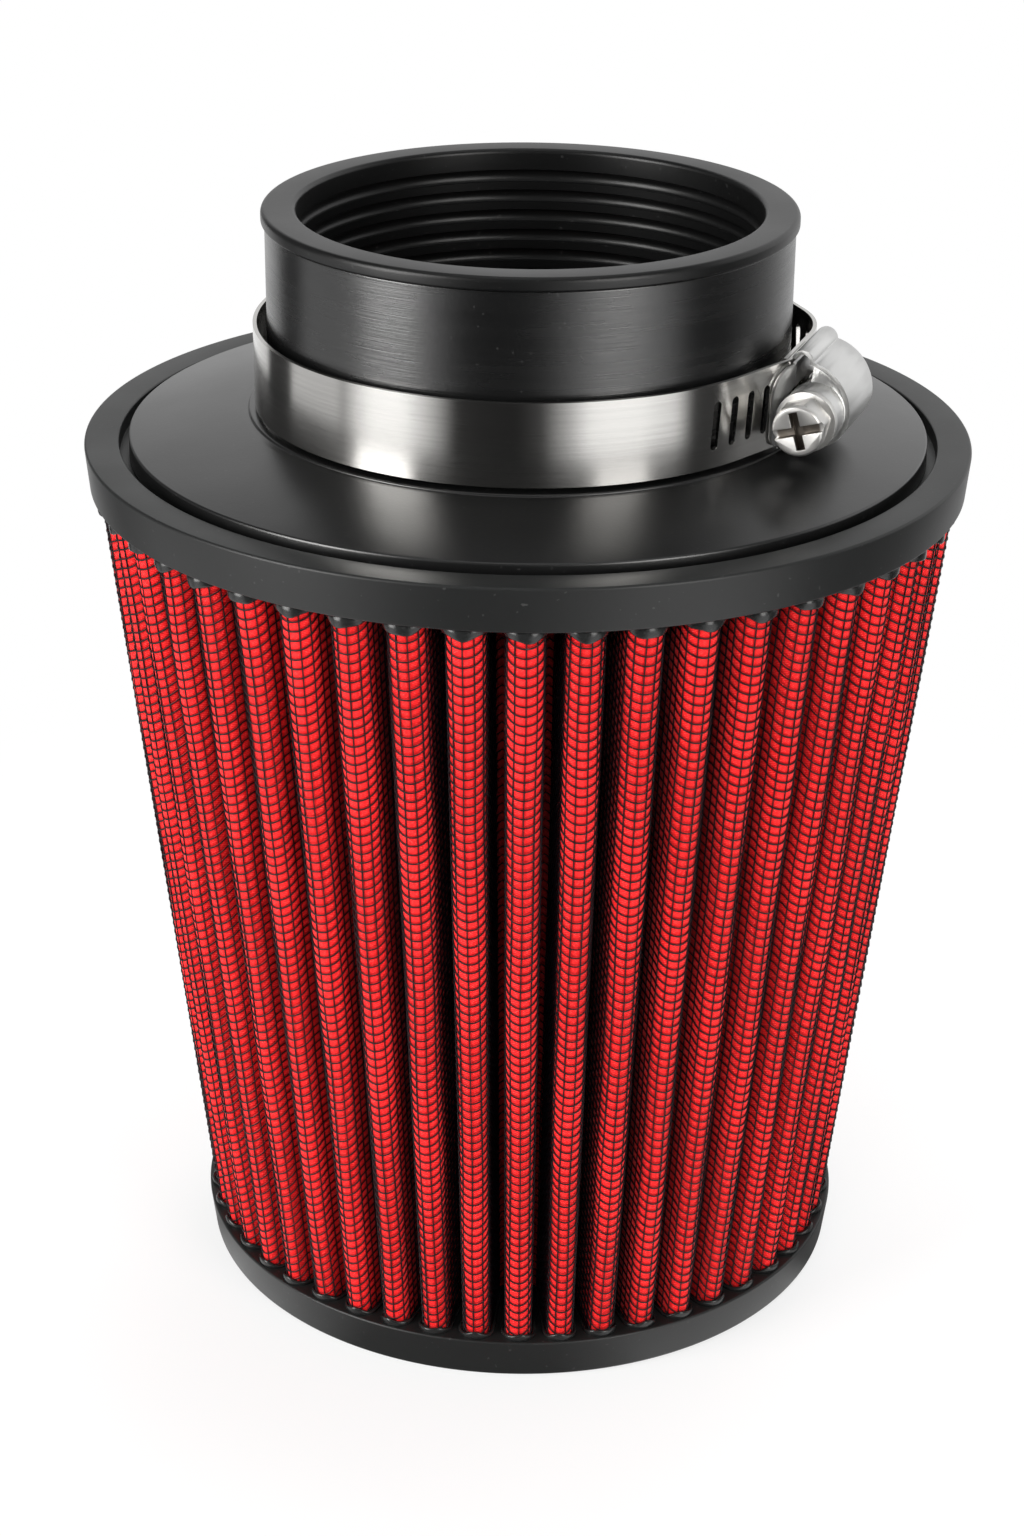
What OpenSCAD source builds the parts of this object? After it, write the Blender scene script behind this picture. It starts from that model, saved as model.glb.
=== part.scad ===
// Clamp-on cone air filter: a pleated cotton pack between two moulded rubber ends,
// with a ribbed inlet neck on the wide end and a worm-drive hose clamp round the neck.
// The axis is Z. The closed narrow end stands on Z = 0 and the neck opens upwards.
// The clamp screw lies on the +X side and its head faces the front, -Y.

/* [Neck] */
// Inside diameter of the neck, which is the outside of the intake pipe
bore_d = 76.2; // [70:0.1:84]
// Wall of the soft sleeve that lines the neck
sleeve_wall = 3.2; // [2.4:0.1:4]
// Wall of the hard neck tube round the sleeve
neck_wall = 1.9; // [1.4:0.1:2.8]
// Height of the neck tube above the shoulder at its foot
neck_rise = 31.1; // [27:0.1:40]
// Height of the rolled rim that covers the top of the neck tube
rim_h = 2.2; // [1.6:0.1:4]
// How far the rim stands out past the neck tube
rim_overhang = 0.6; // [0.2:0.1:1.5]
// Number of sealing ribs inside the sleeve
rib_count = 5; // [2:1:6]
// Distance from one rib to the next
rib_pitch = 3.5; // [2.6:0.1:4]
// Depth of the grooves between the ribs
rib_depth = 0.7; // [0.4:0.1:1.2]
// Height of the smooth lead-in above the first groove
lead_in = 3.6; // [2:0.1:6]

/* [Top plate and ring] */
// Diameter of the plate that carries the neck
plate_d = 133; // [124:0.5:140]
// Thickness of the plate at its edge
plate_edge_h = 3.5; // [2.5:0.1:5]
// How far the plate rises from its edge to the shoulder
plate_rise = 3.2; // [1.5:0.1:5]
// How far the low shoulder at the foot of the neck stands out from the neck
shoulder_w = 3.35; // [3:0.05:6]
// Height of the shoulder above the plate
shoulder_h = 0.5; // [0.3:0.1:1.5]
// Thickness of the plate where it has no rim below it
plate_wall = 2.6; // [2:0.1:4]
// Width of the groove between the plate and the ring
groove_w = 1.6; // [1:0.1:2.5]
// Width of the ring's upper face, outside the groove
ring_lip_w = 5.8; // [5:0.1:10]
// Height of the ring's outer side
ring_h = 7.4; // [6:0.1:12]
// Height of the ring's rim above the plate's seat
ring_rim_h = 2.5; // [1.5:0.1:3.4]
// How much narrower the ring is at its lower edge, on the radius
ring_draft = 0.7; // [0:0.1:1.5]
// How far the ring reaches in past the pleats' inner tips
ring_cover = 3.1; // [2:0.1:8]
// Height of the rubber collars that run up the pleats below the ring
collar_h_top = 2; // [1:0.1:4]

/* [Pleats] */
// Number of pleats round the cone
pleat_count = 48; // [36:1:56]
// Height of the pleated pack between the two ends
pleat_h = 136.9; // [80:0.1:200]
// Distance from the ring's foot in to the pleat tips
tip_inset_top = 1.6; // [1.5:0.05:3]
// Distance from the cap's upper edge in to the pleat tips
tip_inset_base = 1.4; // [1.35:0.05:2]
// Depth of a pleat, from its outer tip to its inner tip
pleat_depth = 17; // [12:0.1:18]
// Half the width of a pleat's nose at the wide end
nose_r_top = 2.9; // [2.4:0.05:3.2]
// Half the width of a pleat's nose at the narrow end
nose_r_base = 2.05; // [1.8:0.05:2.3]
// Thickness of the layered cotton
cotton_t = 1.2; // [0.9:0.05:1.3]

/* [Wire screens] */
// Thickness of the screen wire
wire_t = 0.28; // [0.2:0.02:0.36]
// Space left between layers of wire and cotton
lay_gap = 0.04; // [0.02:0.01:0.1]
// Rows of wire that run round the outside
outer_rows = 5; // [2:1:6]
// Rows of wire that run round the inside
inner_rows = 1; // [1:1:5]

/* [Base cap] */
// Height of the closed cap at the narrow end
base_h = 7.2; // [5:0.1:15]
// Diameter of the cap at its upper edge
base_d = 115.6; // [115:0.1:130]
// How much narrower the cap is at its foot, on the radius
base_draft = 0.9; // [0:0.1:2]
// Height of the rubber collars that run up the pleats above the cap
collar_h_base = 1.2; // [0.8:0.1:3]
// Rounding of the cap's and the ring's edges
edge_r = 0.8; // [0.4:0.1:1.2]

/* [Clamp band] */
// Width of the steel band
band_w = 13.6; // [12:0.1:16]
// Thickness of the band
band_t = 0.65; // [0.5:0.05:0.8]
// Gap between the neck and the slack band
band_slack = 1.65; // [1.2:0.05:2]
// Distance between the worm slots
slot_pitch = 3.9; // [3.4:0.1:4.4]
// Width of a worm slot
slot_w = 1.5; // [1.2:0.05:1.7]
// Length of a worm slot across the band
slot_l = 7.8; // [6:0.1:8.4]
// Slant of the slots, which follows the worm's thread
slot_slant = 5; // [3:0.5:10]
// Number of slots
slot_count = 14; // [10:1:16]
// Direction of the screw housing, counted from the front towards +X
clamp_turn = 70; // [40:1:120]
// How far the band runs on straight behind the housing before it bends
bulge_run = 9; // [8:0.1:11]
// Radius of that bend
bulge_r = 20; // [15:0.5:26]

/* [Clamp housing] */
// Length of the housing along the screw
housing_l = 14; // [13:0.1:18]
// Outer radius of the cover's wide upper arch
cover_r = 8.25; // [7.8:0.05:9]
// How far the cover reaches out past the screw's axis
cover_reach = 5.65; // [5.5:0.05:6]
// Sheet thickness of the cover
cover_t = 0.7; // [0.5:0.05:0.8]
// Sheet thickness of the saddle under the screw
saddle_t = 0.6; // [0.4:0.05:0.7]
// Clear space between the parts of the clamp that slide on each other
clamp_gap = 0.12; // [0.08:0.01:0.2]
// How far the saddle's tongue reaches out under the screw head
tongue_l = 5.5; // [4:0.1:6]
// Outer radius of the collar that the screw turns in
collar_r = 4.8; // [4.6:0.05:5]
// Length of the collar
collar_l = 3.4; // [2.5:0.1:4]

/* [Clamp screw] */
// Distance from the band's outer face to the screw's axis
worm_lift = 4.45; // [4.3:0.05:4.6]
// Depth of the worm's thread
thread_h = 0.9; // [0.6:0.05:1.1]
// Running clearance of the screw in its two bearings
bearing_gap = 0.08; // [0.04:0.01:0.1]
// Radius of the screw's rear journal
tip_r = 2.5; // [2:0.1:3]
// Width of the hexagon across its flats
hex_af = 7.5; // [7:0.1:8]
// Radius of the round face in front of the hexagon
face_r = 4.1; // [3.8:0.05:4.4]
// Thickness of the round face
face_t = 0.9; // [0.6:0.1:1.4]
// Height of the hexagon head
hex_h = 5; // [4:0.1:7]
// Radius of the flange under the head
flange_r = 4.9; // [4.7:0.05:5.2]
// Thickness of the flange under the head
flange_t = 1.4; // [1:0.1:2]
// Width of the screwdriver recess
recess_w = 1.45; // [0.8:0.05:1.6]
// Depth of the screwdriver recess
recess_depth = 1.2; // [0.8:0.1:2]

/* [Hidden] */
$fn = 128;
fit = 0.05;
cut = 0.5;
row_gap = 0.07;
bend_share = 0.36;
least_bend = 0.05;
collar_w = 0.5;
stop_w = 1.6;
kink = 1.1;
hair = 0.01;
lap = 0.1;
band_lift = 1;
roll_r = 1.85;
cover_neck = 1;

bore_r = bore_d / 2;
sleeve_r = bore_r + sleeve_wall;
neck_r = sleeve_r + fit + neck_wall;
rim_r = neck_r + rim_overhang;
plate_r = plate_d / 2;
shoulder_r = neck_r + shoulder_w;
ring_lip_r = plate_r + groove_w;
ring_r = ring_lip_r + ring_lip_w;
tip_r_top = ring_r - ring_draft - tip_inset_top;
tip_r_base = base_d / 2 - tip_inset_base;
ring_hole_r = tip_r_top - pleat_depth - ring_cover;

pack_z = base_h;
ring_z = pack_z + pleat_h;
seat_z = ring_z + ring_h - ring_rim_h;
plate_edge_z = seat_z + plate_edge_h;
shoulder_z = plate_edge_z + plate_rise + shoulder_h;
neck_z = shoulder_z + neck_rise;
rim_z = neck_z + rim_h;
stop_z = seat_z + plate_wall;

// The clamp's own frame: s runs along the screw, away from its head, n runs out from the
// filter's axis, and z is shared. It is turned to the housing's place by in_clamp().
band_r = neck_r + band_slack + band_t / 2;
band_z = shoulder_z + saddle_t + clamp_gap + band_w / 2;
flat_s = housing_l / 2 - 1;
band_n = band_r + kink;
lower_n = band_n - band_t - clamp_gap;
screw_n = band_n + band_t / 2 + worm_lift;
screw_z = band_z - band_lift;
crest_r = worm_lift - clamp_gap;
root_r = crest_r - thread_h;
journal_r = collar_r - cover_t - bearing_gap;
cover_front = -housing_l / 2;
cover_rear = housing_l / 2 + 0.5;
collar_s = cover_front - cover_neck - collar_l;
flange_s = collar_s - clamp_gap - flange_t;
hex_s = flange_s - hex_h;
saddle_n = band_n + band_t / 2 + clamp_gap;

function arc(cx, cy, r, from, to, steps) =
    [for (i = [0:steps]) let (a = from + (to - from) * i / steps) [cx + r * cos(a), cy + r * sin(a)]];

// Where a straight run leaves the band's circle so that it reaches height n at half-length h
function lift_angle(n, h) = atan(h / n) + acos(band_r / norm([n, h]));

module in_clamp() {
    rotate([0, 0, clamp_turn - 90])
        children();
}

module along_screw() {
    in_clamp()
        translate([screw_n, 0, screw_z])
            rotate([-90, 0, 0])
                children();
}

// The neck tube, its shoulder and the plate are one moulding
module neck_flange() {
    inner_r = sleeve_r + fit;
    foot_r = 1.2;
    color([0.09, 0.09, 0.095])
        rotate_extrude()
            polygon(concat(
                [[inner_r - stop_w, seat_z + plate_wall - stop_w], [ring_hole_r, seat_z]],
                [[plate_r - edge_r / 2, seat_z], [plate_r, seat_z + edge_r / 2]],
                arc(plate_r - edge_r, plate_edge_z - edge_r, edge_r, 0, 80, 5),
                [[shoulder_r + foot_r, shoulder_z - shoulder_h]],
                arc(shoulder_r - shoulder_h, shoulder_z - shoulder_h, shoulder_h, 0, 90, 4),
                arc(neck_r + foot_r / 2, shoulder_z + foot_r / 2, foot_r / 2, 270, 180, 4),
                arc(neck_r - 0.3, neck_z - 0.3, 0.3, 0, 90, 3),
                [[inner_r, neck_z], [inner_r, stop_z + stop_w], [inner_r - stop_w, stop_z + stop_w]]
            ));
}

// Half round rib crests stay on the bore and the grooves are cut outwards between them
module neck_sleeve() {
    foot_z = stop_z + stop_w;
    groove_h = rib_pitch * 0.62;
    grooves = [for (k = [0:rib_count]) rim_z - lead_in - groove_h / 2 - k * rib_pitch];
    side = concat(
        [[bore_r, rim_z - edge_r]],
        [for (g = grooves) each [for (i = [0:8]) let (a = 180 * i / 8)
            [bore_r + rib_depth * sin(a), g + groove_h / 2 * cos(a)]]],
        [[bore_r, foot_z]]
    );
    color([0.07, 0.07, 0.075])
        rotate_extrude()
            polygon(concat(
                side,
                [[sleeve_r, foot_z], [sleeve_r, neck_z], [rim_r - 0.3, neck_z]],
                arc(rim_r - 0.4, neck_z + 0.4, 0.4, -60, 0, 3),
                arc(rim_r - edge_r, rim_z - edge_r, edge_r, 0, 90, 6),
                arc(bore_r + edge_r, rim_z - edge_r, edge_r, 90, 165, 5)
            ));
}

// The rubber runs a little way along the pleats and the wires on them, where they enter it
module pleat_collar(f, z, h) {
    inside = 2 * lay_gap + wire_t + row_gap;
    translate([0, 0, z])
        linear_extrude(h)
            difference() {
                polygon(pleat_line(f, inside + collar_w, 4, 1));
                polygon(pleat_line(f, inside, 4, 1));
            }
}

// The ring is cast round the plate's edge and the upper ends of the pleats
module top_ring() {
    foot_r = ring_r - ring_draft;
    color([0.13, 0.13, 0.135]) {
        pleat_collar(1, ring_z - collar_h_top, collar_h_top + collar_w / 4);
        rotate_extrude()
            polygon(concat(
                [[ring_hole_r, ring_z], [foot_r - edge_r / 2, ring_z]],
                arc(foot_r - edge_r / 2, ring_z + edge_r / 2, edge_r / 2, -90, 0, 4),
                arc(ring_r - edge_r, ring_z + ring_h - edge_r, edge_r, 0, 90, 6),
                arc(ring_lip_r + edge_r / 2, ring_z + ring_h - edge_r / 2, edge_r / 2, 90, 180, 4),
                [[ring_lip_r, seat_z], [ring_hole_r, seat_z]]
            ));
    }
}

module base_cap() {
    foot_r = base_d / 2 - base_draft;
    color([0.13, 0.13, 0.135]) {
        pleat_collar(0, base_h - collar_w / 4, collar_h_base + collar_w / 4);
        rotate_extrude()
            polygon(concat(
                [[0, 0], [foot_r - edge_r, 0]],
                arc(foot_r - edge_r, edge_r, edge_r, -90, 0, 6),
                arc(base_d / 2 - edge_r / 2, base_h - edge_r / 2, edge_r / 2, 0, 90, 4),
                [[0, base_h]]
            ));
    }
}

// One fold of the pleated sheet is a round nose on the outside and a round bend on the
// inside, joined by straight flanks. lift moves the line outwards from the sheet's outer face.
function tip_r(f) = tip_r_base + (tip_r_top - tip_r_base) * f;
function nose_r(f) = nose_r_base + (nose_r_top - nose_r_base) * f;
function bend_r(f) = nose_r(f) * bend_share;
function bend_at(f) = tip_r(f) - pleat_depth + cotton_t + bend_r(f);
function polar(c, r, a) = [c[0] + r * cos(a), c[1] + r * sin(a)];
function on_axis(r, a) = [r * cos(a), r * sin(a)];
function nose_turn(k) = -90 + 360 * k / pleat_count;
function bend_turn(k) = -90 + 360 * (k + 0.5) / pleat_count;

function pleat_line(f, lift, nose_steps, bend_steps) = [
    for (k = [0:pleat_count - 1]) each concat(
        [for (i = [0:nose_steps])
            polar(on_axis(tip_r(f) - nose_r(f), nose_turn(k)), nose_r(f) + lift,
                nose_turn(k) - 90 + 180 * i / nose_steps)],
        [for (i = [0:bend_steps])
            polar(on_axis(bend_at(f), bend_turn(k)), max(bend_r(f) - lift, least_bend),
                bend_turn(k) - 90 - 180 * i / bend_steps)]
    )
];

function at_height(points, z) = [for (p = points) [p[0], p[1], z]];

// A tapering tube whose wall runs between an outer and an inner line, from foot to head
module tapering_wall(foot_out, head_out, foot_in, head_in, z0, z1) {
    n = len(foot_out);
    points = concat(at_height(foot_out, z0), at_height(head_out, z1),
        at_height(foot_in, z0), at_height(head_in, z1));
    faces = [for (i = [0:n - 1]) let (j = (i + 1) % n) each [
        [j, i, n + i], [j, n + i, n + j],
        [2 * n + i, 2 * n + j, 3 * n + i], [2 * n + j, 3 * n + j, 3 * n + i],
        [i, j, 2 * n + i], [j, 2 * n + j, 2 * n + i],
        [n + j, n + i, 3 * n + i], [n + j, 3 * n + i, 3 * n + j]
    ]];
    polyhedron(points, faces);
}

module pleated_media() {
    color([0.72, 0.06, 0.07])
        tapering_wall(
            pleat_line(0, 0, 4, 3), pleat_line(1, 0, 4, 3),
            pleat_line(0, -cotton_t, 4, 3), pleat_line(1, -cotton_t, 4, 3),
            pack_z, ring_z
        );
}

// A straight wire of square section that leans with the cone, from foot to head
module leaning_wire(foot, head, turn) {
    run = [head[0] - foot[0], head[1] - foot[1]];
    lean = atan(norm(run) / pleat_h);
    translate([foot[0], foot[1], pack_z])
        rotate([0, 0, atan2(run[1], run[0])])
            rotate([0, lean, 0])
                rotate([0, 0, turn - atan2(run[1], run[0])])
                    translate([-wire_t / 2, -wire_t / 2, wire_t])
                        cube([wire_t, wire_t, pleat_h / cos(lean) - 2 * wire_t]);
}

// A flat ring of wire between two lines that follow the folds at height share f
module folded_wire(f, low, high, nose_steps, bend_steps) {
    translate([0, 0, pack_z + pleat_h * f - wire_t / 2])
        linear_extrude(wire_t)
            difference() {
                polygon(pleat_line(f, high, nose_steps, bend_steps));
                polygon(pleat_line(f, low, nose_steps, bend_steps));
            }
}

// Upright wires lie on the noses, and the rows lie over them and follow every fold
module outer_screen() {
    under = lay_gap + wire_t / 2;
    over = 2 * lay_gap + wire_t + row_gap;
    color([0.05, 0.05, 0.055]) {
        for (k = [0:pleat_count - 1], lean = [-45, 0, 45])
            leaning_wire(
                polar(on_axis(tip_r(0) - nose_r(0), nose_turn(k)), nose_r(0) + under, nose_turn(k) + lean),
                polar(on_axis(tip_r(1) - nose_r(1), nose_turn(k)), nose_r(1) + under, nose_turn(k) + lean),
                nose_turn(k) + lean
            );
        for (row = [1:outer_rows])
            folded_wire(row / (outer_rows + 1), over, over + wire_t, 4, 2);
    }
}

module inner_screen() {
    under = cotton_t + lay_gap + wire_t / 2;
    over = cotton_t + 2 * lay_gap + wire_t + row_gap;
    color([0.05, 0.05, 0.055]) {
        for (k = [0:pleat_count - 1])
            leaning_wire(
                polar(on_axis(bend_at(0), bend_turn(k)), bend_r(0) + under, bend_turn(k) + 180),
                polar(on_axis(bend_at(1), bend_turn(k)), bend_r(1) + under, bend_turn(k) + 180),
                bend_turn(k)
            );
        for (row = [1:inner_rows])
            folded_wire(row / (inner_rows + 1), -over - wire_t, -over, 2, 4);
    }
}

// A slot across the band, cut through it along the local X axis
module worm_slot() {
    rotate([-slot_slant, 0, 0])
        rotate([0, 90, 0])
            linear_extrude(6, center = true)
                union() {
                    square([slot_l - slot_w, slot_w], center = true);
                    for (end = [-1, 1])
                        translate([end * (slot_l - slot_w) / 2, 0])
                            circle(d = slot_w, $fn = 24);
                }
}

// Plan of a straight run of band from s0 to s1 whose middle line lies at n. It is a hair
// thinner than the arcs and reaches into them by lap, so that their faces never coincide.
module flat_strip(n, s0, s1) {
    translate([n - band_t / 2 + hair, s0 - lap])
        square([band_t - 2 * hair, s1 - s0 + 2 * lap]);
}

// Plan of a hoop of band whose middle line has radius r
module hoop(r) {
    difference() {
        circle(r = r + band_t / 2);
        circle(r = r - band_t / 2);
    }
}

// All of the plan that lies between two turns less than a half turn apart
module sector(from_turn, to_turn) {
    wide = 4 * band_r;
    intersection() {
        rotate(from_turn)
            translate([-wide / 2, 0])
                square([wide, wide]);
        rotate(to_turn)
            translate([-wide / 2, -wide])
                square([wide, wide]);
    }
}

// In front, the slotted end leaves the circle straight and is bent flat under the screw.
// Behind, the fixed end runs on straight, bends round bulge_r and then meets the circle.
module band_plan() {
    head_a = lift_angle(band_n, flat_s);
    head_run = (band_r * sin(head_a) - flat_s) / cos(head_a);
    bulge_n = lower_n - bulge_r;
    spread = norm([bulge_run, bulge_n]);
    tangent_a = acos((band_r - bulge_r) / spread);
    bulge_a = atan(bulge_run / bulge_n) + tangent_a;
    difference() {
        hoop(band_r);
        sector(-head_a, bulge_a);
    }
    rotate(-head_a)
        flat_strip(band_r, 0, head_run);
    flat_strip(band_n, -flat_s, flat_s - 1);
    flat_strip(lower_n, -flat_s + 1, bulge_run);
    translate([bulge_n, bulge_run])
        intersection() {
            hoop(bulge_r);
            sector(0, bulge_a);
        }
    rotate(bulge_a)
        flat_strip(band_r, -spread * sin(tangent_a), 0);
}

module clamp_band() {
    slot_step = slot_pitch / band_r * 180 / PI;
    first_slot = -30;
    color([0.78, 0.78, 0.79])
        in_clamp()
            difference() {
                translate([0, 0, band_z - band_w / 2])
                    linear_extrude(band_w)
                        band_plan();
                for (i = [0:slot_count - 1])
                    rotate([0, 0, first_slot + i * slot_step])
                        translate([band_r + 0.5, 0, band_z])
                            worm_slot();
            }
}

// The saddle is a plate between the band and the screw, with a window for the worm,
// a tongue bent down to the band under the screw's head, and a lip that hooks the lower edge
module clamp_saddle() {
    low_z = band_z - band_w / 2 - clamp_gap - saddle_t;
    top_z = band_z + band_w / 2 - 0.5;
    lean = lift_angle(band_n, flat_s);
    hook_n = lower_n - band_t / 2 - clamp_gap - saddle_t;
    window_h = 5.4;
    color([0.72, 0.72, 0.73])
        in_clamp()
            difference() {
                union() {
                    translate([saddle_n, -flat_s, low_z])
                        cube([saddle_t, flat_s + housing_l / 2, top_z - low_z]);
                    translate([saddle_n, -flat_s, 0])
                        rotate([0, 0, -lean])
                            rotate([0, 90, 0])
                                linear_extrude(saddle_t)
                                    tongue_outline(low_z + 0.9, top_z - 0.3);
                    translate([hook_n, -flat_s + 1, low_z])
                        cube([saddle_n + saddle_t / 2 - hook_n, flat_s - 1 + housing_l / 2, saddle_t]);
                    translate([hook_n, -flat_s + 1, low_z])
                        cube([saddle_t, flat_s - 1 + housing_l / 2, 2]);
                }
                translate([saddle_n - cut, -flat_s + 0.6, screw_z - window_h / 2])
                    cube([saddle_t + 2 * cut, flat_s + housing_l / 2 - 1.1, window_h]);
                translate([screw_n, 0, screw_z])
                    rotate([90, 0, 0])
                        cylinder(r = collar_r + 0.3, h = housing_l);
            }
}

// Drawn in the plate's plane: X is down and Y runs from the tongue's tip to the bend
module tongue_outline(z0, z1) {
    high_r = tongue_l - 0.4;
    low_r = 2;
    intersection() {
        translate([-z1, -tongue_l])
            square([z1 - z0, tongue_l + 0.1]);
        union() {
            translate([-z1 + high_r, -tongue_l + high_r])
                circle(r = high_r);
            translate([-z1, -tongue_l + high_r])
                square([high_r, high_r]);
            translate([-z1 + high_r, -tongue_l])
                square([z1 - z0 - high_r - low_r, tongue_l + 1]);
            translate([-z0 - low_r, -tongue_l + low_r])
                circle(r = low_r);
            translate([-z0 - low_r, -tongue_l + low_r])
                square([low_r, tongue_l]);
        }
    }
}

// Half section of the cover from the screw's axis: a wide arch above and a round foot below.
// X points outwards and Y upwards, and inset moves the line inwards.
module cover_section(inset) {
    high_x = cover_reach - cover_r;
    foot_r = cover_reach + 0.4;
    low_x = saddle_n + saddle_t - screw_n;
    intersection() {
        union() {
            intersection() {
                translate([high_x, 0])
                    circle(r = cover_r - inset);
                translate([low_x, 0])
                    square([20, 20]);
            }
            intersection() {
                translate([cover_reach - foot_r, 0])
                    circle(r = foot_r - inset);
                translate([low_x, -20])
                    square([20, 20.01]);
            }
        }
        translate([low_x, -20])
            square([20, 40]);
    }
}

// The cover's section with its upper inner part open, where the worm can be seen.
// The seam is the line at which the arch passes into the rolled edge.
module cover_face(inset, seam_x) {
    difference() {
        cover_section(inset);
        translate([seam_x - 20, collar_r / 2])
            square([20, 20]);
    }
}

// The rolled upper edge, a half circle from the seam to its free end over the band
module rolled_edge(seam_x) {
    translate([seam_x + cover_t / 2 - roll_r, cover_r - cover_t / 2])
        difference() {
            circle(r = roll_r);
            circle(r = roll_r - cover_t);
            rotate(-15)
                translate([-2 * roll_r, -4 * roll_r])
                    square(4 * roll_r);
        }
}

// Carries a section along the screw from one place to another
module cover_run(s0, s1) {
    translate([0, 0, s0])
        linear_extrude(s1 - s0)
            mirror([0, 1])
                children();
}

// The cover: an arched sheet over the worm, whose upper edge is rolled over the band, with a
// necked collar that carries the screw in front and a wall that carries its tip behind
module clamp_housing() {
    seam_x = -0.9;
    bore = collar_r - cover_t;
    cone_r = cover_r + 1;
    cone_l = 2.6;
    wall_t = cover_t + 0.1;
    color([0.84, 0.84, 0.85])
        along_screw() {
            cover_run(cover_front, cover_rear) {
                difference() {
                    cover_face(0, seam_x);
                    cover_section(cover_t);
                }
                rolled_edge(seam_x);
            }
            intersection() {
                cover_run(cover_front, cover_front + 2 * cone_l)
                    cover_face(cover_t / 2, seam_x);
                rotate_extrude()
                    polygon([
                        [bore, cover_front - 1], [collar_r, cover_front - 1], [collar_r, cover_front],
                        [cone_r, cover_front + cone_l], [cone_r, cover_front + cone_l + wall_t],
                        [bore, cover_front + cover_t]
                    ]);
            }
            translate([0, 0, collar_s])
                difference() {
                    cylinder(r = collar_r, h = cover_front + cover_t - collar_s);
                    translate([0, 0, -cut])
                        cylinder(r = bore, h = cover_front + cover_t - collar_s + 2 * cut);
                }
            difference() {
                cover_run(cover_rear - cover_t, cover_rear)
                    cover_face(cover_t / 2, seam_x);
                translate([0, 0, cover_rear - cover_t - cut])
                    cylinder(r = tip_r + bearing_gap, h = cover_t + 2 * cut);
            }
        }
}

// Helical ridge of the worm, a strip of four-sided section that winds from s0 to s1
module worm_thread(s0, s1) {
    steps = 24;
    turns = (s1 - s0) / slot_pitch;
    n = floor(steps * turns);
    half = slot_w * 0.42;
    sunk = root_r - 0.2;
    section = [[sunk, -half], [crest_r, -half * 0.4], [crest_r, half * 0.4], [sunk, half]];
    points = [for (i = [0:n], c = section) let (a = 360 * i / steps)
        [c[0] * cos(a), c[0] * sin(a), s0 + i * slot_pitch / steps + c[1]]];
    sides = [for (i = [0:n - 1], c = [0:3]) let (p = 4 * i + c, q = 4 * i + (c + 1) % 4)
        each [[p, q, p + 4], [q, q + 4, p + 4]]];
    ends = [[0, 3, 2, 1], [4 * n, 4 * n + 1, 4 * n + 2, 4 * n + 3]];
    polyhedron(points, concat(sides, ends));
}

// One arm of the recess, sunk into the screw's face
module recess_arm(size, depth) {
    translate([-size[0] / 2, -size[1] / 2, hex_s - cut])
        cube([size[0], size[1], depth + cut]);
}

// A hexagon head with a round face and a cross recess, a flange, a front journal,
// the worm and a rear journal. Its axis is turned so that the long slot tips up to the right.
module clamp_screw() {
    worm_s = cover_front + 1.6;
    worm_end = cover_rear - cover_t - 0.3;
    slot_turn = -16;
    edge = 0.3;
    face_end = hex_s + face_t;
    color([0.82, 0.82, 0.82])
        along_screw()
            difference() {
                union() {
                    rotate_extrude()
                        polygon([
                            [0, hex_s], [face_r - edge, hex_s], [face_r, hex_s + edge],
                            [face_r, face_end], [0, face_end]
                        ]);
                    intersection() {
                        translate([0, 0, face_end])
                            rotate([0, 0, slot_turn])
                                cylinder(d = hex_af / cos(30), h = flange_s - face_end, $fn = 6);
                        translate([0, 0, hex_s])
                            cylinder(r = face_r + 0.1, h = hex_h);
                    }
                    translate([0, 0, flange_s])
                        cylinder(r = flange_r, h = flange_t);
                    translate([0, 0, flange_s])
                        cylinder(r = journal_r, h = worm_s - flange_s);
                    translate([0, 0, worm_s])
                        cylinder(r = root_r, h = worm_end - worm_s);
                    worm_thread(worm_s + slot_w / 2, worm_end - slot_w / 2);
                    translate([0, 0, worm_end])
                        cylinder(r = tip_r, h = cover_rear + cut - worm_end);
                }
                rotate([0, 0, slot_turn]) {
                    recess_arm([2 * face_r + 1, recess_w], recess_depth);
                    recess_arm([recess_w, 1.5 * face_r], recess_depth + 0.6);
                }
            }
}

neck_flange();
neck_sleeve();
top_ring();
pleated_media();
outer_screen();
inner_screen();
base_cap();
clamp_band();
clamp_saddle();
clamp_housing();
clamp_screw();
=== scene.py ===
# %% [markdown]
# # A clamp-on cone air filter, dressed for its portrait
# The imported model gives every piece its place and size. This script keeps those places and
# makes the surfaces that a camera looks at: soft edges on the rubber, the woven wire over
# red cotton, and a polished hose clamp. All lengths are in metres, and MM turns a length
# in millimetres into metres.

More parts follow.
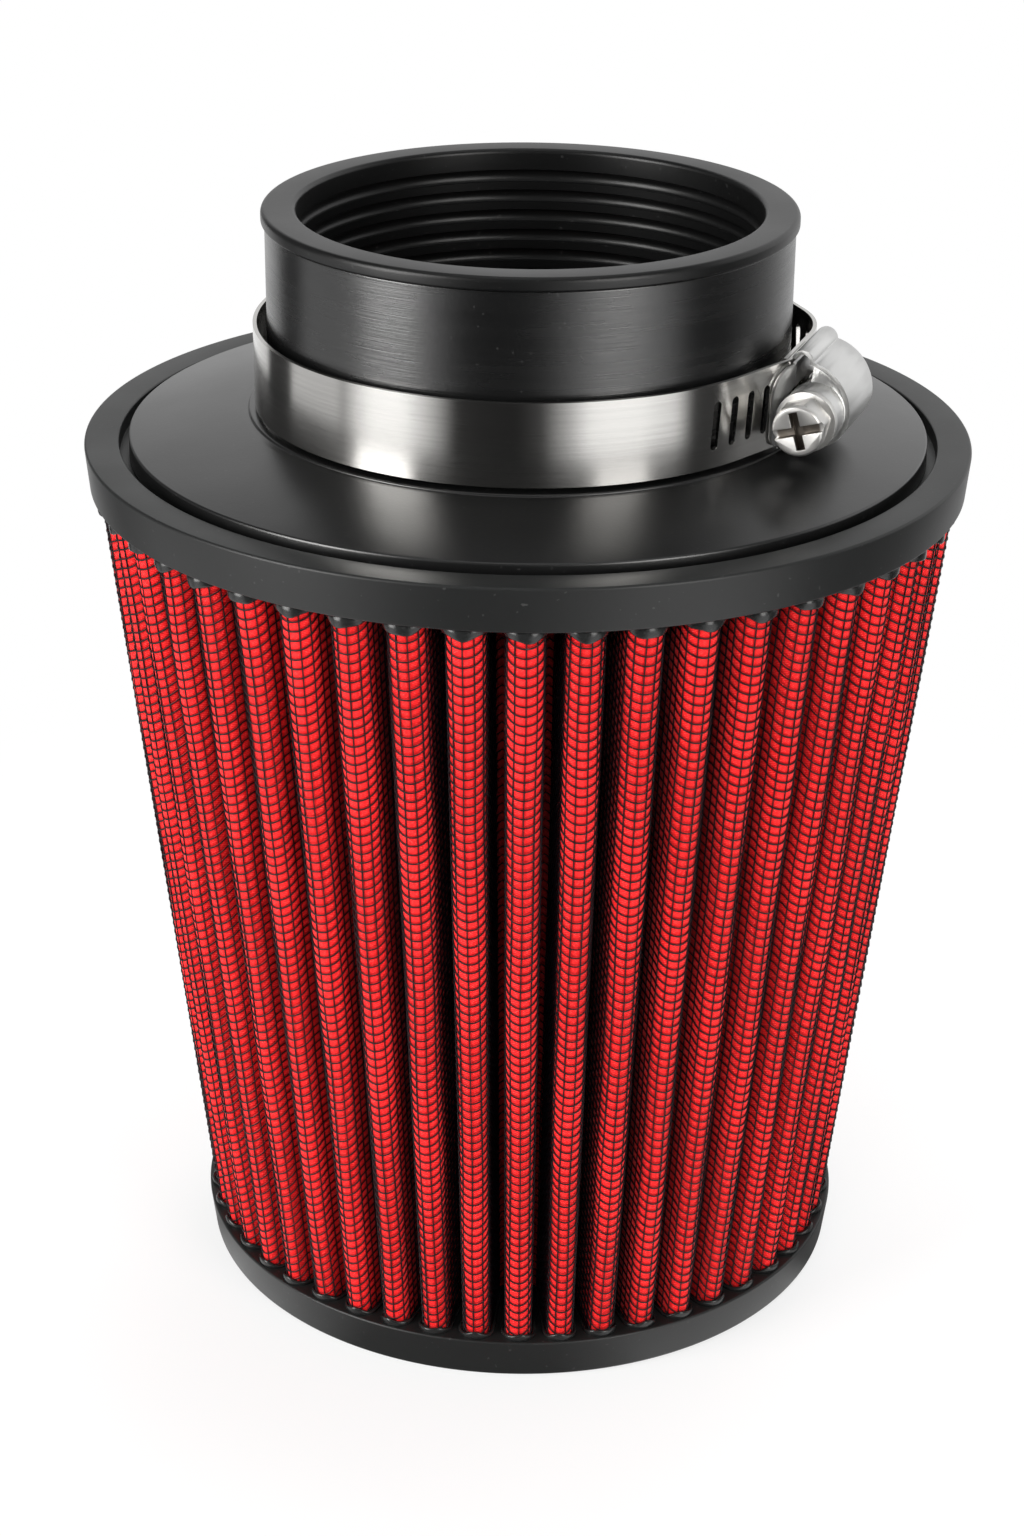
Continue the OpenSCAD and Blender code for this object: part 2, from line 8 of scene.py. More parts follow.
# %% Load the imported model
import math
import bmesh
import bpy
import numpy as np
from mathutils import Matrix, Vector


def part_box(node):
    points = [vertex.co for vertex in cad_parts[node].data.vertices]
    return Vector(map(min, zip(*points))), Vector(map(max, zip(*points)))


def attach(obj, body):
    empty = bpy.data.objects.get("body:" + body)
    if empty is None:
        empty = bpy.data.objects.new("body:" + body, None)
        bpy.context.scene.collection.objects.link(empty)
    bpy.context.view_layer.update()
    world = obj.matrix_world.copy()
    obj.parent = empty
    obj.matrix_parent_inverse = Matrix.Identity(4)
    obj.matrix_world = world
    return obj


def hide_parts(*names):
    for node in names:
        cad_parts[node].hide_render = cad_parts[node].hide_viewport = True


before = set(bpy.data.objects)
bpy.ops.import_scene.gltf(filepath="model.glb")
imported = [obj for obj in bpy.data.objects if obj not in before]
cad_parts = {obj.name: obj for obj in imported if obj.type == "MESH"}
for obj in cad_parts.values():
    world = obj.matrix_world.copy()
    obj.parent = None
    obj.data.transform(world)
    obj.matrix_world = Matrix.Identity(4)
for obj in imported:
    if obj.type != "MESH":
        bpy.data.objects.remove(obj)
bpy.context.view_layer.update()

MM = 0.001

# %% [markdown]
# ## From arrays to meshes
# Most pieces here are surfaces with two parameters, such as turn and height. Such a surface is
# a grid of points, so one helper can turn any grid into a mesh: it joins each point to its
# neighbours with four-sided faces, and closes the grid on itself where the piece is a loop.

# %% A mesh from a grid of points
def grid_faces(nu, nv, wrap_u, wrap_v):
    """Corner numbers of the faces of an nu by nv grid, counted row by row."""
    rows = np.arange(nu if wrap_u else nu - 1)
    columns = np.arange(nv if wrap_v else nv - 1)
    a, b = np.meshgrid(rows, columns, indexing="ij")
    c, d = (a + 1) % nu, (b + 1) % nv
    return np.stack([a * nv + b, c * nv + b, c * nv + d, a * nv + d], -1).reshape(-1, 4)


def placed(name, data):
    """A new object that shows the data, at the scene's origin."""
    thing = bpy.data.objects.new(name, data)
    bpy.context.scene.collection.objects.link(thing)
    return thing


def new_piece(name, points, faces, uv=None, sharp=None):
    """An object at the origin whose mesh holds the points, in metres, and the faces. Its faces
    are smooth, apart from edges sharper than the angle sharp, in degrees."""
    mesh = bpy.data.meshes.new(name)
    mesh.vertices.add(len(points))
    mesh.vertices.foreach_set("co", np.ascontiguousarray(points, dtype=np.float32).ravel())
    mesh.loops.add(faces.size)
    mesh.loops.foreach_set("vertex_index", faces.astype(np.int32).ravel())
    mesh.polygons.add(len(faces))
    starts = np.arange(len(faces), dtype=np.int32) * faces.shape[1]
    mesh.polygons.foreach_set("loop_start", starts)
    mesh.update(calc_edges=True)
    mesh.polygons.foreach_set("use_smooth", np.ones(len(faces), dtype=bool))
    if uv is not None:
        layer = mesh.uv_layers.new(name="UVMap")
        layer.data.foreach_set("uv", np.ascontiguousarray(uv, dtype=np.float32).ravel())
    if sharp is not None:
        mesh.set_sharp_from_angle(angle=math.radians(sharp))
    mesh.validate()
    return placed(name, mesh)


def point_outwards(piece):
    """Merges doubled points and turns every face of a closed mesh outwards."""
    work = bmesh.new()
    work.from_mesh(piece.data)
    bmesh.ops.remove_doubles(work, verts=work.verts, dist=1e-6)
    bmesh.ops.recalc_face_normals(work, faces=work.faces)
    work.to_mesh(piece.data)
    work.free()
    return piece


def break_edges(piece, width, sharp):
    """Bevels every edge sharper than sharp degrees, width mm wide."""
    bevel = piece.modifiers.new("broken_edges", "BEVEL")
    bevel.width, bevel.segments, bevel.limit_method = width * MM, 2, "ANGLE"
    bevel.angle_limit, bevel.harden_normals = math.radians(sharp), True
    bevel.use_clamp_overlap = True


def triangles(piece):
    """Number of triangles that the piece's faces make, modifiers left out."""
    return sum(len(p.vertices) - 2 for p in piece.data.polygons)

# %% [markdown]
# ## Turned pieces
# The plate, the soft neck, the ring and the cap are all round. Each is a profile turned about
# the filter's axis. What makes moulded rubber look moulded is its edges, so every corner of a
# profile gets its own radius, and a fine arc takes the corner's place before it is turned.

# %% Profiles with rounded corners
def rounded(corners, steps=7):
    """A closed profile from rows of radius from the axis, height and rounding. Each corner is
    replaced by the arc that touches both its sides: the arc's centre lies on the corner's
    bisector, and its points turn evenly from one side to the other."""
    table = np.array(corners, dtype=float)
    p, rounding = table[:, :2], table[:, 2:3]
    back = np.roll(p, 1, axis=0) - p
    ahead = np.roll(p, -1, axis=0) - p
    back /= np.linalg.norm(back, axis=1, keepdims=True)
    ahead /= np.linalg.norm(ahead, axis=1, keepdims=True)
    half = np.arccos(np.clip((back * ahead).sum(1, keepdims=True), -1, 1)) / 2
    reach = rounding / np.tan(half)
    middle = back + ahead
    middle /= np.maximum(np.linalg.norm(middle, axis=1, keepdims=True), 1e-9)
    centre = p + middle * rounding / np.sin(half)
    first, last = p + back * reach - centre, p + ahead * reach - centre
    sweep = np.maximum(math.pi - 2 * half, 1e-6)
    t = np.linspace(0, 1, steps)[None, :, None]
    arc = (np.sin((1 - t) * sweep[:, None]) * first[:, None]
           + np.sin(t * sweep[:, None]) * last[:, None]) / np.sin(sweep)[:, None]
    line = (centre[:, None] + arc).reshape(-1, 2)
    apart = np.linalg.norm(line - np.roll(line, 1, axis=0), axis=1) > 1e-4
    return line[apart]


def turned(name, profile, sides=288, sharp=50):
    """The profile, in millimetres, carried round the axis: x = r cos(turn), y = r sin(turn)."""
    turn = np.linspace(0, 2 * math.pi, sides, endpoint=False)[:, None]
    r, z = profile[None, :, 0] * MM, profile[None, :, 1] * MM
    points = np.stack([r * np.cos(turn), r * np.sin(turn), z + 0 * turn], -1).reshape(-1, 3)
    faces = grid_faces(sides, len(profile), True, True)
    piece = point_outwards(new_piece(name, points, faces, sharp=sharp))
    print(name, "has", triangles(piece), "triangles")
    return piece

# %% [markdown]
# ## The neck plate
# The tube, the low shoulder at its foot and the shallow dome of the plate are one hard
# moulding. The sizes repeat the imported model's, so the turned piece lies exactly on it.

# %% Neck tube, shoulder and plate
BORE_R, SLEEVE_R, NECK_R, RIM_R = 38.1, 41.3, 43.25, 43.85
TUBE_R, FOOT_R = SLEEVE_R + 0.05, SLEEVE_R + 0.05 - 1.6
PLATE_R, SHOULDER_R, RING_R, RING_HOLE_R, RING_LIP_R = 66.5, 46.6, 73.9, 51.5, 68.1
PACK_Z, RING_Z, SEAT_Z, PLATE_EDGE_Z = 7.2, 144.1, 149.0, 152.5
SHOULDER_Z, NECK_Z, RIM_Z, FOOT_Z = 156.2, 187.3, 189.5, 153.2

neck_plate = turned("neck_plate_moulding", rounded([
    [FOOT_R, 150.0, 0.1], [RING_HOLE_R, SEAT_Z, 0.1],
    [PLATE_R, SEAT_Z, 0.4], [PLATE_R, PLATE_EDGE_Z, 0.45],
    [SHOULDER_R + 1.2, SHOULDER_Z - 0.5, 2.0], [SHOULDER_R, SHOULDER_Z - 0.35, 0.3],
    [SHOULDER_R - 0.1, SHOULDER_Z, 0.35], [NECK_R, SHOULDER_Z, 0.6],
    [NECK_R, NECK_Z, 0.3], [TUBE_R, NECK_Z, 0.1],
    [TUBE_R, FOOT_Z, 0.1], [FOOT_R, FOOT_Z, 0.3],
]))

# %% [markdown]
# ## The soft sleeve
# A band of flexible rubber lines the neck. Five rings stand between shallow grooves and seal
# on the pipe, and a rolled rim covers the end of the hard tube. Half ellipses cut into a
# straight line give the grooves, and the rounded corners give the rim.

# %% Sleeve with grooves and rim
GROOVE_H, GROOVE_D, GROOVE_PITCH, LEAD_IN, GROOVES = 2.17, 0.7, 3.5, 3.6, 6
number = np.arange(GROOVES)[:, None]
sweep = np.linspace(0, math.pi, 13)[None, :]
groove_z = RIM_Z - LEAD_IN - GROOVE_H / 2 - number * GROOVE_PITCH + GROOVE_H / 2 * np.cos(sweep)
groove_r = BORE_R + GROOVE_D * np.sin(sweep) + 0 * number
grooves = np.stack([groove_r, groove_z], -1).reshape(-1, 2)
rim = rounded([
    [BORE_R, FOOT_Z, 0.2], [SLEEVE_R, FOOT_Z, 0.2], [SLEEVE_R, NECK_Z, 0.05],
    [RIM_R, NECK_Z, 0.45], [RIM_R, RIM_Z, 0.85], [BORE_R, RIM_Z, 0.8],
], steps=9)
sleeve = turned("neck_sleeve_ribbed", np.concatenate([rim, grooves]))

# %% [markdown]
# ## The ring and the cap
# Both are cast from the same soft rubber round the ends of the pleats. The ring stands a
# little proud of the plate with a narrow groove between them, and the cap closes the foot.

# %% Ring and cap
RING_H, CAP_R, CAP_TAPER = 7.4, 57.8, 0.9
ring = turned("moulded_ring", rounded([
    [RING_HOLE_R, RING_Z, 0.3], [RING_R - 0.7, RING_Z, 0.5],
    [RING_R, RING_Z + RING_H, 0.45], [RING_LIP_R, RING_Z + RING_H, 0.35],
    [RING_LIP_R, SEAT_Z, 0.1], [RING_HOLE_R, SEAT_Z, 0.1],
]))
cap = turned("moulded_cap", rounded([
    [0.02, 0, 0], [CAP_R - CAP_TAPER, 0, 0.8], [CAP_R, PACK_Z, 0.4], [0.02, PACK_Z, 0],
]))

# %% [markdown]
# ## The folded cotton
# Forty-eight folds run from the ring to the cap and stand closer together as the cone
# narrows. Every point of a fold is known from three numbers: which fold it is on, how far it
# lies from the middle of the nose along the cloth, and how high it is. A fourth, the lift,
# moves it off the cloth, which later gives the wires their places over the same folds.

# %% A point on the folded cloth
FOLDS, FOLD_H, FOLD_DEPTH, CLOTH_T = 48, 136.9, 17.0, 1.2
TIP_R, TIP_GAIN = 56.4, 15.2


def fold_sizes(f):
    """Tip radius, nose radius, bend radius and bend centre at height share f, in mm."""
    tip = TIP_R + TIP_GAIN * f
    nose = 2.05 + 0.85 * f
    bend = nose * 0.36
    return tip, nose, bend, tip - FOLD_DEPTH + CLOTH_T + bend


def half_fold(f):
    """Lengths of cloth in half a nose, in a flank and in half a bend, at height share f."""
    tip, nose, bend, at = fold_sizes(f)
    half_turn = math.pi / FOLDS
    flank = np.hypot((tip - nose) - (at * np.cos(half_turn) + bend * np.sin(half_turn)),
                     nose - (at * np.sin(half_turn) - bend * np.cos(half_turn)))
    return nose * math.pi / 2, flank, bend * math.pi / 2


def cloth_point(k, p, f, lift):
    """Place on fold k, p mm along the cloth from the nose, at height share f. Within the nose
    the point turns about the nose's centre, within the bend about the bend's centre, and on
    the flank it lies on the straight line between their ends."""
    tip, nose, bend, at = fold_sizes(f)
    la, lb, _ = half_fold(f)
    side = np.where(p < 0, -1.0, 1.0)
    far = np.abs(p)
    a = -math.pi / 2 + 2 * math.pi * k / FOLDS
    b = a + side * math.pi / FOLDS
    on_nose = a + side * np.clip(far / nose, 0, math.pi / 2)
    on_bend = b - side * (math.pi / 2 + np.clip((far - la - lb) / bend, 0, math.pi / 2))
    small = np.maximum(bend - lift, 0.05)
    nx, ny = (tip - nose) * np.cos(a), (tip - nose) * np.sin(a)
    bx, by = at * np.cos(b), at * np.sin(b)
    nose_x, nose_y = nx + (nose + lift) * np.cos(on_nose), ny + (nose + lift) * np.sin(on_nose)
    bend_x, bend_y = bx + small * np.cos(on_bend), by + small * np.sin(on_bend)
    share = np.clip((far - la) / lb, 0, 1)
    x = nose_x + (bend_x - nose_x) * share
    y = nose_y + (bend_y - nose_y) * share
    return np.stack([x, y, (PACK_Z + FOLD_H * f) + 0 * x], -1)


def fold_samples(bend_steps, flank_steps, nose_steps):
    """Places along one fold as part, share and side: part 0 is the nose, 1 the flank and 2 the
    bend, from one valley over the nose to just before the next valley."""
    out = [np.stack([np.full(n, float(part)), np.arange(n) / n], -1)
           for part, n in ((0, nose_steps), (1, flank_steps), (2, bend_steps))]
    right = np.concatenate(out)
    end = np.array([[2.0, 1.0]])
    left = np.concatenate([right[1:], end])[::-1]
    return np.concatenate([np.column_stack([left, -np.ones(len(left))]),
                           np.column_stack([right, np.ones(len(right))])])


def along_cloth(samples, f):
    """Signed distance along the cloth, in mm, of each sample at height share f."""
    la, lb, lc = half_fold(f)
    part, share, side = samples[:, 0], samples[:, 1], samples[:, 2]
    far = np.select([part == 0, part == 1], [share * la, la + share * lb], la + lb + share * lc)
    return side * far

# %% [markdown]
# The wire cloth isn't perfect. Its rows climb and dip by a few tenths of a millimetre, and it
# starts at a different wire on each nose. A few slow sine waves give that drift. The cotton's
# pattern coordinates follow the same drift, so that each little pillow of cotton sits inside
# its own wire cell.

# %% Where the wires run
WIRE_PITCH, ROW_PITCH, WIRE_R = 1.75, 1.62, 0.155


def row_drift(k, p, z):
    """How far a row lies above its even place, in mm: slow waves round the cone, plus the rise
    2 (1 - cos(turn round the nose)) and a fifth of the way along the flank. A row lies square
    to its leaning fold and sags at the nose, so from the front it hangs like a U."""
    g = 2 * math.pi * (k + p / 36.0) / FOLDS
    nose = fold_sizes((z - PACK_Z) / FOLD_H)[1]
    turn = np.clip(np.abs(p) / nose, 0, math.pi / 2)
    rise = 2.0 * (1 - np.cos(turn)) + 0.2 * np.maximum(np.abs(p) - nose * math.pi / 2, 0)
    return (rise + 0.20 * np.sin(11 * g + z / 19.0) + 0.14 * np.sin(29 * g - z / 13.0 + 1.3)
            + 0.08 * np.sin(47 * g + z / 31.0 + 0.4))


def wire_drift(k, z):
    """How far an upright wire strays sideways along the cloth at height z, in mm."""
    return 0.16 * np.sin(z / 17.0 + 2.1 * k) + 0.09 * np.sin(z / 6.5 + 4.7 * k)


def wire_phase(k):
    """Share of a cell by which fold k's first wire is set off, different on each fold."""
    return np.mod(k * 0.618, 1.0)

# %% [markdown]
# The pack itself is one thick sheet, folded to and fro and joined end to end. It could be a
# surface with a thickness added later, but its inner and outer face turn at different radii, so
# both are computed and closed into one wall. A slow ripple keeps the noses from looking turned.

# %% Cotton pack
def cotton_pack(levels=36):
    """The cloth's outer and inner face as one closed wall: a grid of places along all the
    folds by a loop that goes up the outside and down the inside."""
    samples = fold_samples(3, 3, 7)
    n = len(samples)
    f = np.linspace(0, 1, levels)
    k = np.repeat(np.arange(FOLDS), n)
    p = np.stack([np.tile(along_cloth(samples, v), FOLDS) for v in f], 1)
    z = PACK_Z + FOLD_H * f[None, :]
    ripple = 0.10 * np.sin(z / 9.0 + 1.7 * k[:, None]) * np.cos(np.clip(p / 6.0, -1.5, 1.5))
    outer = cloth_point(k[:, None], p, f[None, :], ripple)
    inner = cloth_point(k[:, None], p, f[None, :], -CLOTH_T)
    points = np.concatenate([outer, inner[:, ::-1]], 1) * MM
    count, loop = points.shape[:2]
    u_at = p / WIRE_PITCH + wire_phase(k)[:, None] - wire_drift(k[:, None], z) / WIRE_PITCH
    v_at = (z - row_drift(k[:, None], p, z)) / ROW_PITCH
    uu = np.concatenate([u_at, u_at[:, ::-1]], 1)
    vv = np.concatenate([v_at, v_at[:, ::-1]], 1)
    step = np.diff(uu, axis=0, append=uu[:1])
    same = np.append(np.diff(k), 1) == 0
    ahead = np.where(same[:, None], uu + step, uu + 0.3)
    va = np.roll(vv, -1, axis=0)
    up = np.roll(uu, -1, axis=1)
    up_ahead = np.roll(ahead, -1, axis=1)
    corners_u = np.stack([uu, ahead, up_ahead, up], -1)
    corners_v = np.stack([vv, va, np.roll(va, -1, axis=1), np.roll(vv, -1, axis=1)], -1)
    uv = np.stack([corners_u, corners_v], -1).reshape(-1, 2)
    faces = grid_faces(count, loop, True, True)
    return new_piece("cotton_folds", points.reshape(-1, 3), faces, uv, sharp=60)


cotton = cotton_pack()
print("cotton has", triangles(cotton), "triangles")

# %% [markdown]
# ## The wire screens
# A wire is a thin tube along a line that is already known, so no curve object is needed: three
# or four corners round each point of the line make the tube. Upright wires lie on the cotton,
# and the rows lie over them. The screens are split into a few pieces to keep each one light.

# %% Tubes along many lines at once
def tubes(name, centre, out, radius, sides, closed, ahead=None):
    """Wires along the lines in centre, an array of wires by points by three. out points away
    from the cloth. A corner lies at centre + radius (cos(c) out + sin(c) across)."""
    if ahead is None:
        ahead = np.roll(centre, -1, axis=1) - np.roll(centre, 1, axis=1)
        if not closed:
            ahead[:, 0] = centre[:, 1] - centre[:, 0]
            ahead[:, -1] = centre[:, -1] - centre[:, -2]
    ahead = ahead / np.linalg.norm(ahead, axis=-1, keepdims=True)
    out = out - (out * ahead).sum(-1, keepdims=True) * ahead
    out = out / np.linalg.norm(out, axis=-1, keepdims=True)
    across = np.cross(ahead, out)
    corner = 2 * math.pi * (np.arange(sides) + 0.5) / sides
    ring_points = (centre[:, :, None] + radius * (np.cos(corner)[:, None] * out[:, :, None]
                                                  + np.sin(corner)[:, None] * across[:, :, None]))
    wires, n = centre.shape[:2]
    one = grid_faces(n, sides, closed, True)
    faces = (one[None] + (np.arange(wires) * n * sides)[:, None, None]).reshape(-1, 4)
    return new_piece(name, ring_points.reshape(-1, 3) * MM, faces[:, ::-1])


def cloth_out(k, p, f, lift):
    """Direction away from the cloth: the way a point moves as its lift grows."""
    return cloth_point(k, p, f, lift + 0.2) - cloth_point(k, p, f, lift)


def upright_wires(name, reach, lift, radius, sides, levels):
    """Wires at whole cells of every fold, up to reach mm from the nose on either side."""
    f = np.linspace(0.002, 0.998, levels)[None, :]
    cells = np.arange(-11, 12)
    k, cell = [a.ravel() for a in np.meshgrid(np.arange(FOLDS), cells, indexing="ij")]
    p = (cell - wire_phase(k)) * WIRE_PITCH
    keep = np.abs(p) < reach
    k, p = k[keep][:, None], p[keep][:, None]
    z = PACK_Z + FOLD_H * f
    p = p + wire_drift(k, z)
    line = cloth_point(k, p, f, lift)
    return tubes(name, line, cloth_out(k, p, f, lift), radius, sides, False)


def wire_rows(name, numbers, samples, lift, radius, sides):
    """Closed rows that follow every fold at even heights, plus the row's own drift."""
    k = np.repeat(np.arange(FOLDS), len(samples))[None, :]
    z0 = PACK_Z + (numbers[:, None] + 0.5) * ROW_PITCH
    f0 = (z0 - PACK_Z) / FOLD_H
    p = np.stack([np.tile(along_cloth(samples, v), FOLDS) for v in f0[:, 0]])
    f = np.clip(f0 + row_drift(k, p, z0) / FOLD_H, 0.001, 0.999)
    line = cloth_point(k, p, f, lift)
    return tubes(name, line, cloth_out(k, p, f, lift), radius, sides, True)

# %% Outer and inner screens
row_numbers = np.arange(-2, int(FOLD_H / ROW_PITCH) + 1)
outer_samples, inner_samples = fold_samples(1, 1, 8), fold_samples(2, 1, 1)
screen = [upright_wires("outer_screen_uprights", 17.0, 0.11, 0.12, 4, 9)]
screen += [wire_rows(f"outer_screen_rows_{i + 1}", part, outer_samples, 0.22, WIRE_R, 3)
           for i, part in enumerate(np.array_split(row_numbers, 3))]
back = [upright_wires("inner_screen_uprights", 19.0, -CLOTH_T - 0.17, WIRE_R, 3, 5),
        wire_rows("inner_screen_rows", row_numbers[::2], inner_samples, -CLOTH_T - 0.4, WIRE_R, 3)]
print("screens have", [triangles(p) for p in screen + back], "triangles")

# %% [markdown]
# ## Rubber collars
# Where the folds enter the ring and the cap, the rubber was liquid when it was cast and crept
# a little way along each nose, over the wires. That leaves a small glossy collar. A loop of
# eight lifts and heights, carried along all the folds, makes the collars as one closed strip.

# %% Collars of the ring and the cap
def collar(name, f, z_in, way, tall):
    """Cross-section: out 0.44 to 0.95 mm off the cloth, and from inside the moulding at z_in to
    its free edge. The edge reaches tall * (0.35 + 0.65 cos^2(turn round the nose)) plus a small
    wave, in the direction way, so it is highest at the nose and dies out on the flanks."""
    samples = fold_samples(2, 2, 9)
    n = len(samples)
    k = np.repeat(np.arange(FOLDS), n)[:, None]
    p = np.tile(along_cloth(samples, f), FOLDS)[:, None]
    nose = fold_sizes(f)[1]
    turn = np.clip(np.abs(p) / nose, 0, math.pi / 2)
    reach = tall * (0.35 + 0.65 * np.cos(turn) ** 2) + 0.16 * np.sin(2.3 * k + 1.9 * p)
    lift = np.array([0.44, 0.95, 0.97, 0.94, 0.84, 0.68, 0.52, 0.44])[None, :]
    share = np.array([0.0, 0.0, 0.55, 0.80, 0.94, 1.0, 0.96, 0.85])[None, :]
    swell = 0.10 * np.sin(1.7 * k + 0.8 * p) * (lift > 0.5)
    points = cloth_point(k, p, f, lift + swell)
    points[..., 2] = z_in + way * (0.4 + (0.1 + reach) * share - 0.4 * (share == 0))
    faces = grid_faces(FOLDS * n, 8, True, True)
    piece = point_outwards(new_piece(name, points.reshape(-1, 3) * MM, faces))
    print(name, "has", triangles(piece), "triangles")
    return piece


ring_collars = collar("ring_collars", 1.0, RING_Z + 0.4, -1, 1.9)
cap_collars = collar("cap_collars", 0.0, PACK_Z - 0.4, 1, 1.15)

# %% [markdown]
# ## The clamp's band
# The band is a strip of steel 13.6 mm wide that goes once round the neck. Its two ends lie over
# each other under the screw. It could be cut from a solid ring, but a strip is easier to make
# as it is in the factory: flat, with its slots, and then bent along a path. Thickness comes
# last, from Solidify, and Bevel breaks the edges so that they catch the light.

# %% Path of the band, seen from above
CLAMP_TURN = math.radians(20)
BAND_R, BAND_T, BAND_W, BAND_Z = 45.225, 0.65, 13.6, 163.72
OVER_N, UNDER_N, BEND_R, BEND_S = 46.325, 45.555, 20.0, 9.0


def straight(a, b, step=0.25):
    """Points from a up to, but not including, b."""
    a, b = np.array(a, float), np.array(b, float)
    count = max(int(np.linalg.norm(b - a) / step), 2)
    return a + (b - a) * (np.arange(count) / count)[:, None]


def round_about(centre, radius, start, stop, step=0.4):
    """Points on a circle from angle start to stop, in degrees, the last one left out."""
    count = max(int(abs(stop - start) * math.pi / 180 * radius / step), 2)
    a = np.radians(start + (stop - start) * np.arange(count) / count)
    return np.stack([centre[0] + radius * np.cos(a), centre[1] + radius * np.sin(a)], -1)


def band_path():
    """Middle line of the band from its slotted end, over the flat under the screw, round the
    neck, and along the bulge to its fixed end. First column outwards, second along the screw."""
    head = math.degrees(math.atan(6 / OVER_N) + math.acos(BAND_R / math.hypot(OVER_N, 6)))
    centre = (UNDER_N - BEND_R, BEND_S)
    bulge = math.degrees(math.atan2(centre[1], centre[0])
                         + math.acos((BAND_R - BEND_R) / math.hypot(*centre)))
    leave = BAND_R * np.array([math.cos(math.radians(head)), -math.sin(math.radians(head))])
    meet = BAND_R * np.array([math.cos(math.radians(bulge)), math.sin(math.radians(bulge))])
    turned_end = round_about(centre, BEND_R, bulge, 0)
    return np.concatenate([
        straight((OVER_N, 5), (OVER_N, -6)), straight((OVER_N, -6), leave),
        round_about((0, 0), BAND_R, -head, bulge - 360), straight(meet, turned_end[0]),
        turned_end, straight((UNDER_N, BEND_S), (UNDER_N, -6.3))])


path = band_path()
step = np.linalg.norm(np.diff(path, axis=0), axis=1)
path_at = np.concatenate([[0], np.cumsum(step)])
path_turn = np.degrees(np.unwrap(np.arctan2(path[:, 1], path[:, 0])))
print("the band is", round(path_at[-1], 1), "mm long")


def on_band(along, z, lift):
    """Place of a point of the flat strip: along the path, z above the strip's middle and lift
    off its face, along the path's normal."""
    ahead = np.gradient(path, path_at, axis=0)
    normal = np.stack([-ahead[:, 1], ahead[:, 0]], -1)
    normal /= np.linalg.norm(normal, axis=1, keepdims=True)
    n, s, dn, ds = [np.interp(along, path_at, c) for c in (*path.T, *normal.T)]
    n, s = n + lift * dn, s + lift * ds
    c, d = math.cos(CLAMP_TURN), math.sin(CLAMP_TURN)
    return np.stack([n * c + s * d, s * c - n * d, BAND_Z + z], -1)

# %% [markdown]
# The slots are punched at even steps, slanted like the worm's thread. Cutting them out of the
# bent strip would leave ragged shading, so each slot gets its own tile of the flat strip, whose
# faces run from the slot's rounded edge to the tile's straight one.

# %% Where the slots are
SLOT_L, SLOT_W, SLOT_SLANT = 7.8, 1.5, math.radians(5)
slot_turns = -30 + np.arange(14) * 3.9 / BAND_R * 180 / math.pi
first_part = path_at < 60
last_part = path_at > path_at[-1] - 60
front_slots = np.interp(-slot_turns[:8], -path_turn[first_part], path_at[first_part])[::-1]
back_slots = np.interp(-(slot_turns[5:] - 360), -path_turn[last_part], path_at[last_part])[::-1]
print("slots at", np.round(front_slots, 1), "and", np.round(back_slots, 1))

# %% The flat strip
ROWS = np.linspace(-BAND_W / 2, BAND_W / 2, 15)


def slot_tile(middle, left, right):
    """Points and faces of one stretch of strip with a slot in it. Both the slot's edge and the
    stretch's edge are walked in 38 steps, and three more rings lie between them."""
    h, r = (SLOT_L - SLOT_W) / 2, SLOT_W / 2
    side = np.clip(ROWS, -ROWS[12], ROWS[12]) * h / ROWS[12]
    ends = np.radians(np.linspace(0, 180, 10))[1:-1]
    end_x, end_z = r * np.cos(ends), h + r * np.sin(ends)
    right_x, right_z = np.full(15, r), side.copy()
    right_x[13:], right_z[13:] = end_x[:2], end_z[:2]
    right_x[1::-1], right_z[1::-1] = end_x[:2], -end_z[:2]
    top_x, top_z = end_x[2:6], end_z[2:6]
    inner = np.concatenate([
        np.stack([right_x, right_z], -1), np.stack([top_x, top_z], -1),
        np.stack([-right_x, right_z], -1)[::-1], np.stack([top_x, -top_z], -1)[::-1]])
    inner = np.stack([inner[:, 0] - inner[:, 1] * math.tan(SLOT_SLANT), inner[:, 1]], -1)
    across = np.linspace(right, left, 6)[1:-1]
    edge = np.full(4, BAND_W / 2)
    outer = np.concatenate([
        np.stack([np.full(15, right), ROWS], -1), np.stack([across, edge], -1),
        np.stack([np.full(15, left), ROWS], -1)[::-1], np.stack([across, -edge], -1)[::-1]])
    share = np.array([0, 0.12, 0.35, 0.65, 1.0])[:, None, None]
    rings = (inner + [middle, 0]) * (1 - share) + outer * share
    return rings.reshape(-1, 2), grid_faces(5, len(inner), False, True)


def plain_stretch(left, right, pitch=1.4):
    """Points and faces of a stretch of strip without a slot."""
    along = np.linspace(left, right, max(int(round((right - left) / pitch)), 1) + 1)
    points = np.stack(np.meshgrid(along, ROWS, indexing="ij"), -1).reshape(-1, 2)
    return points, grid_faces(len(along), len(ROWS), False, False)


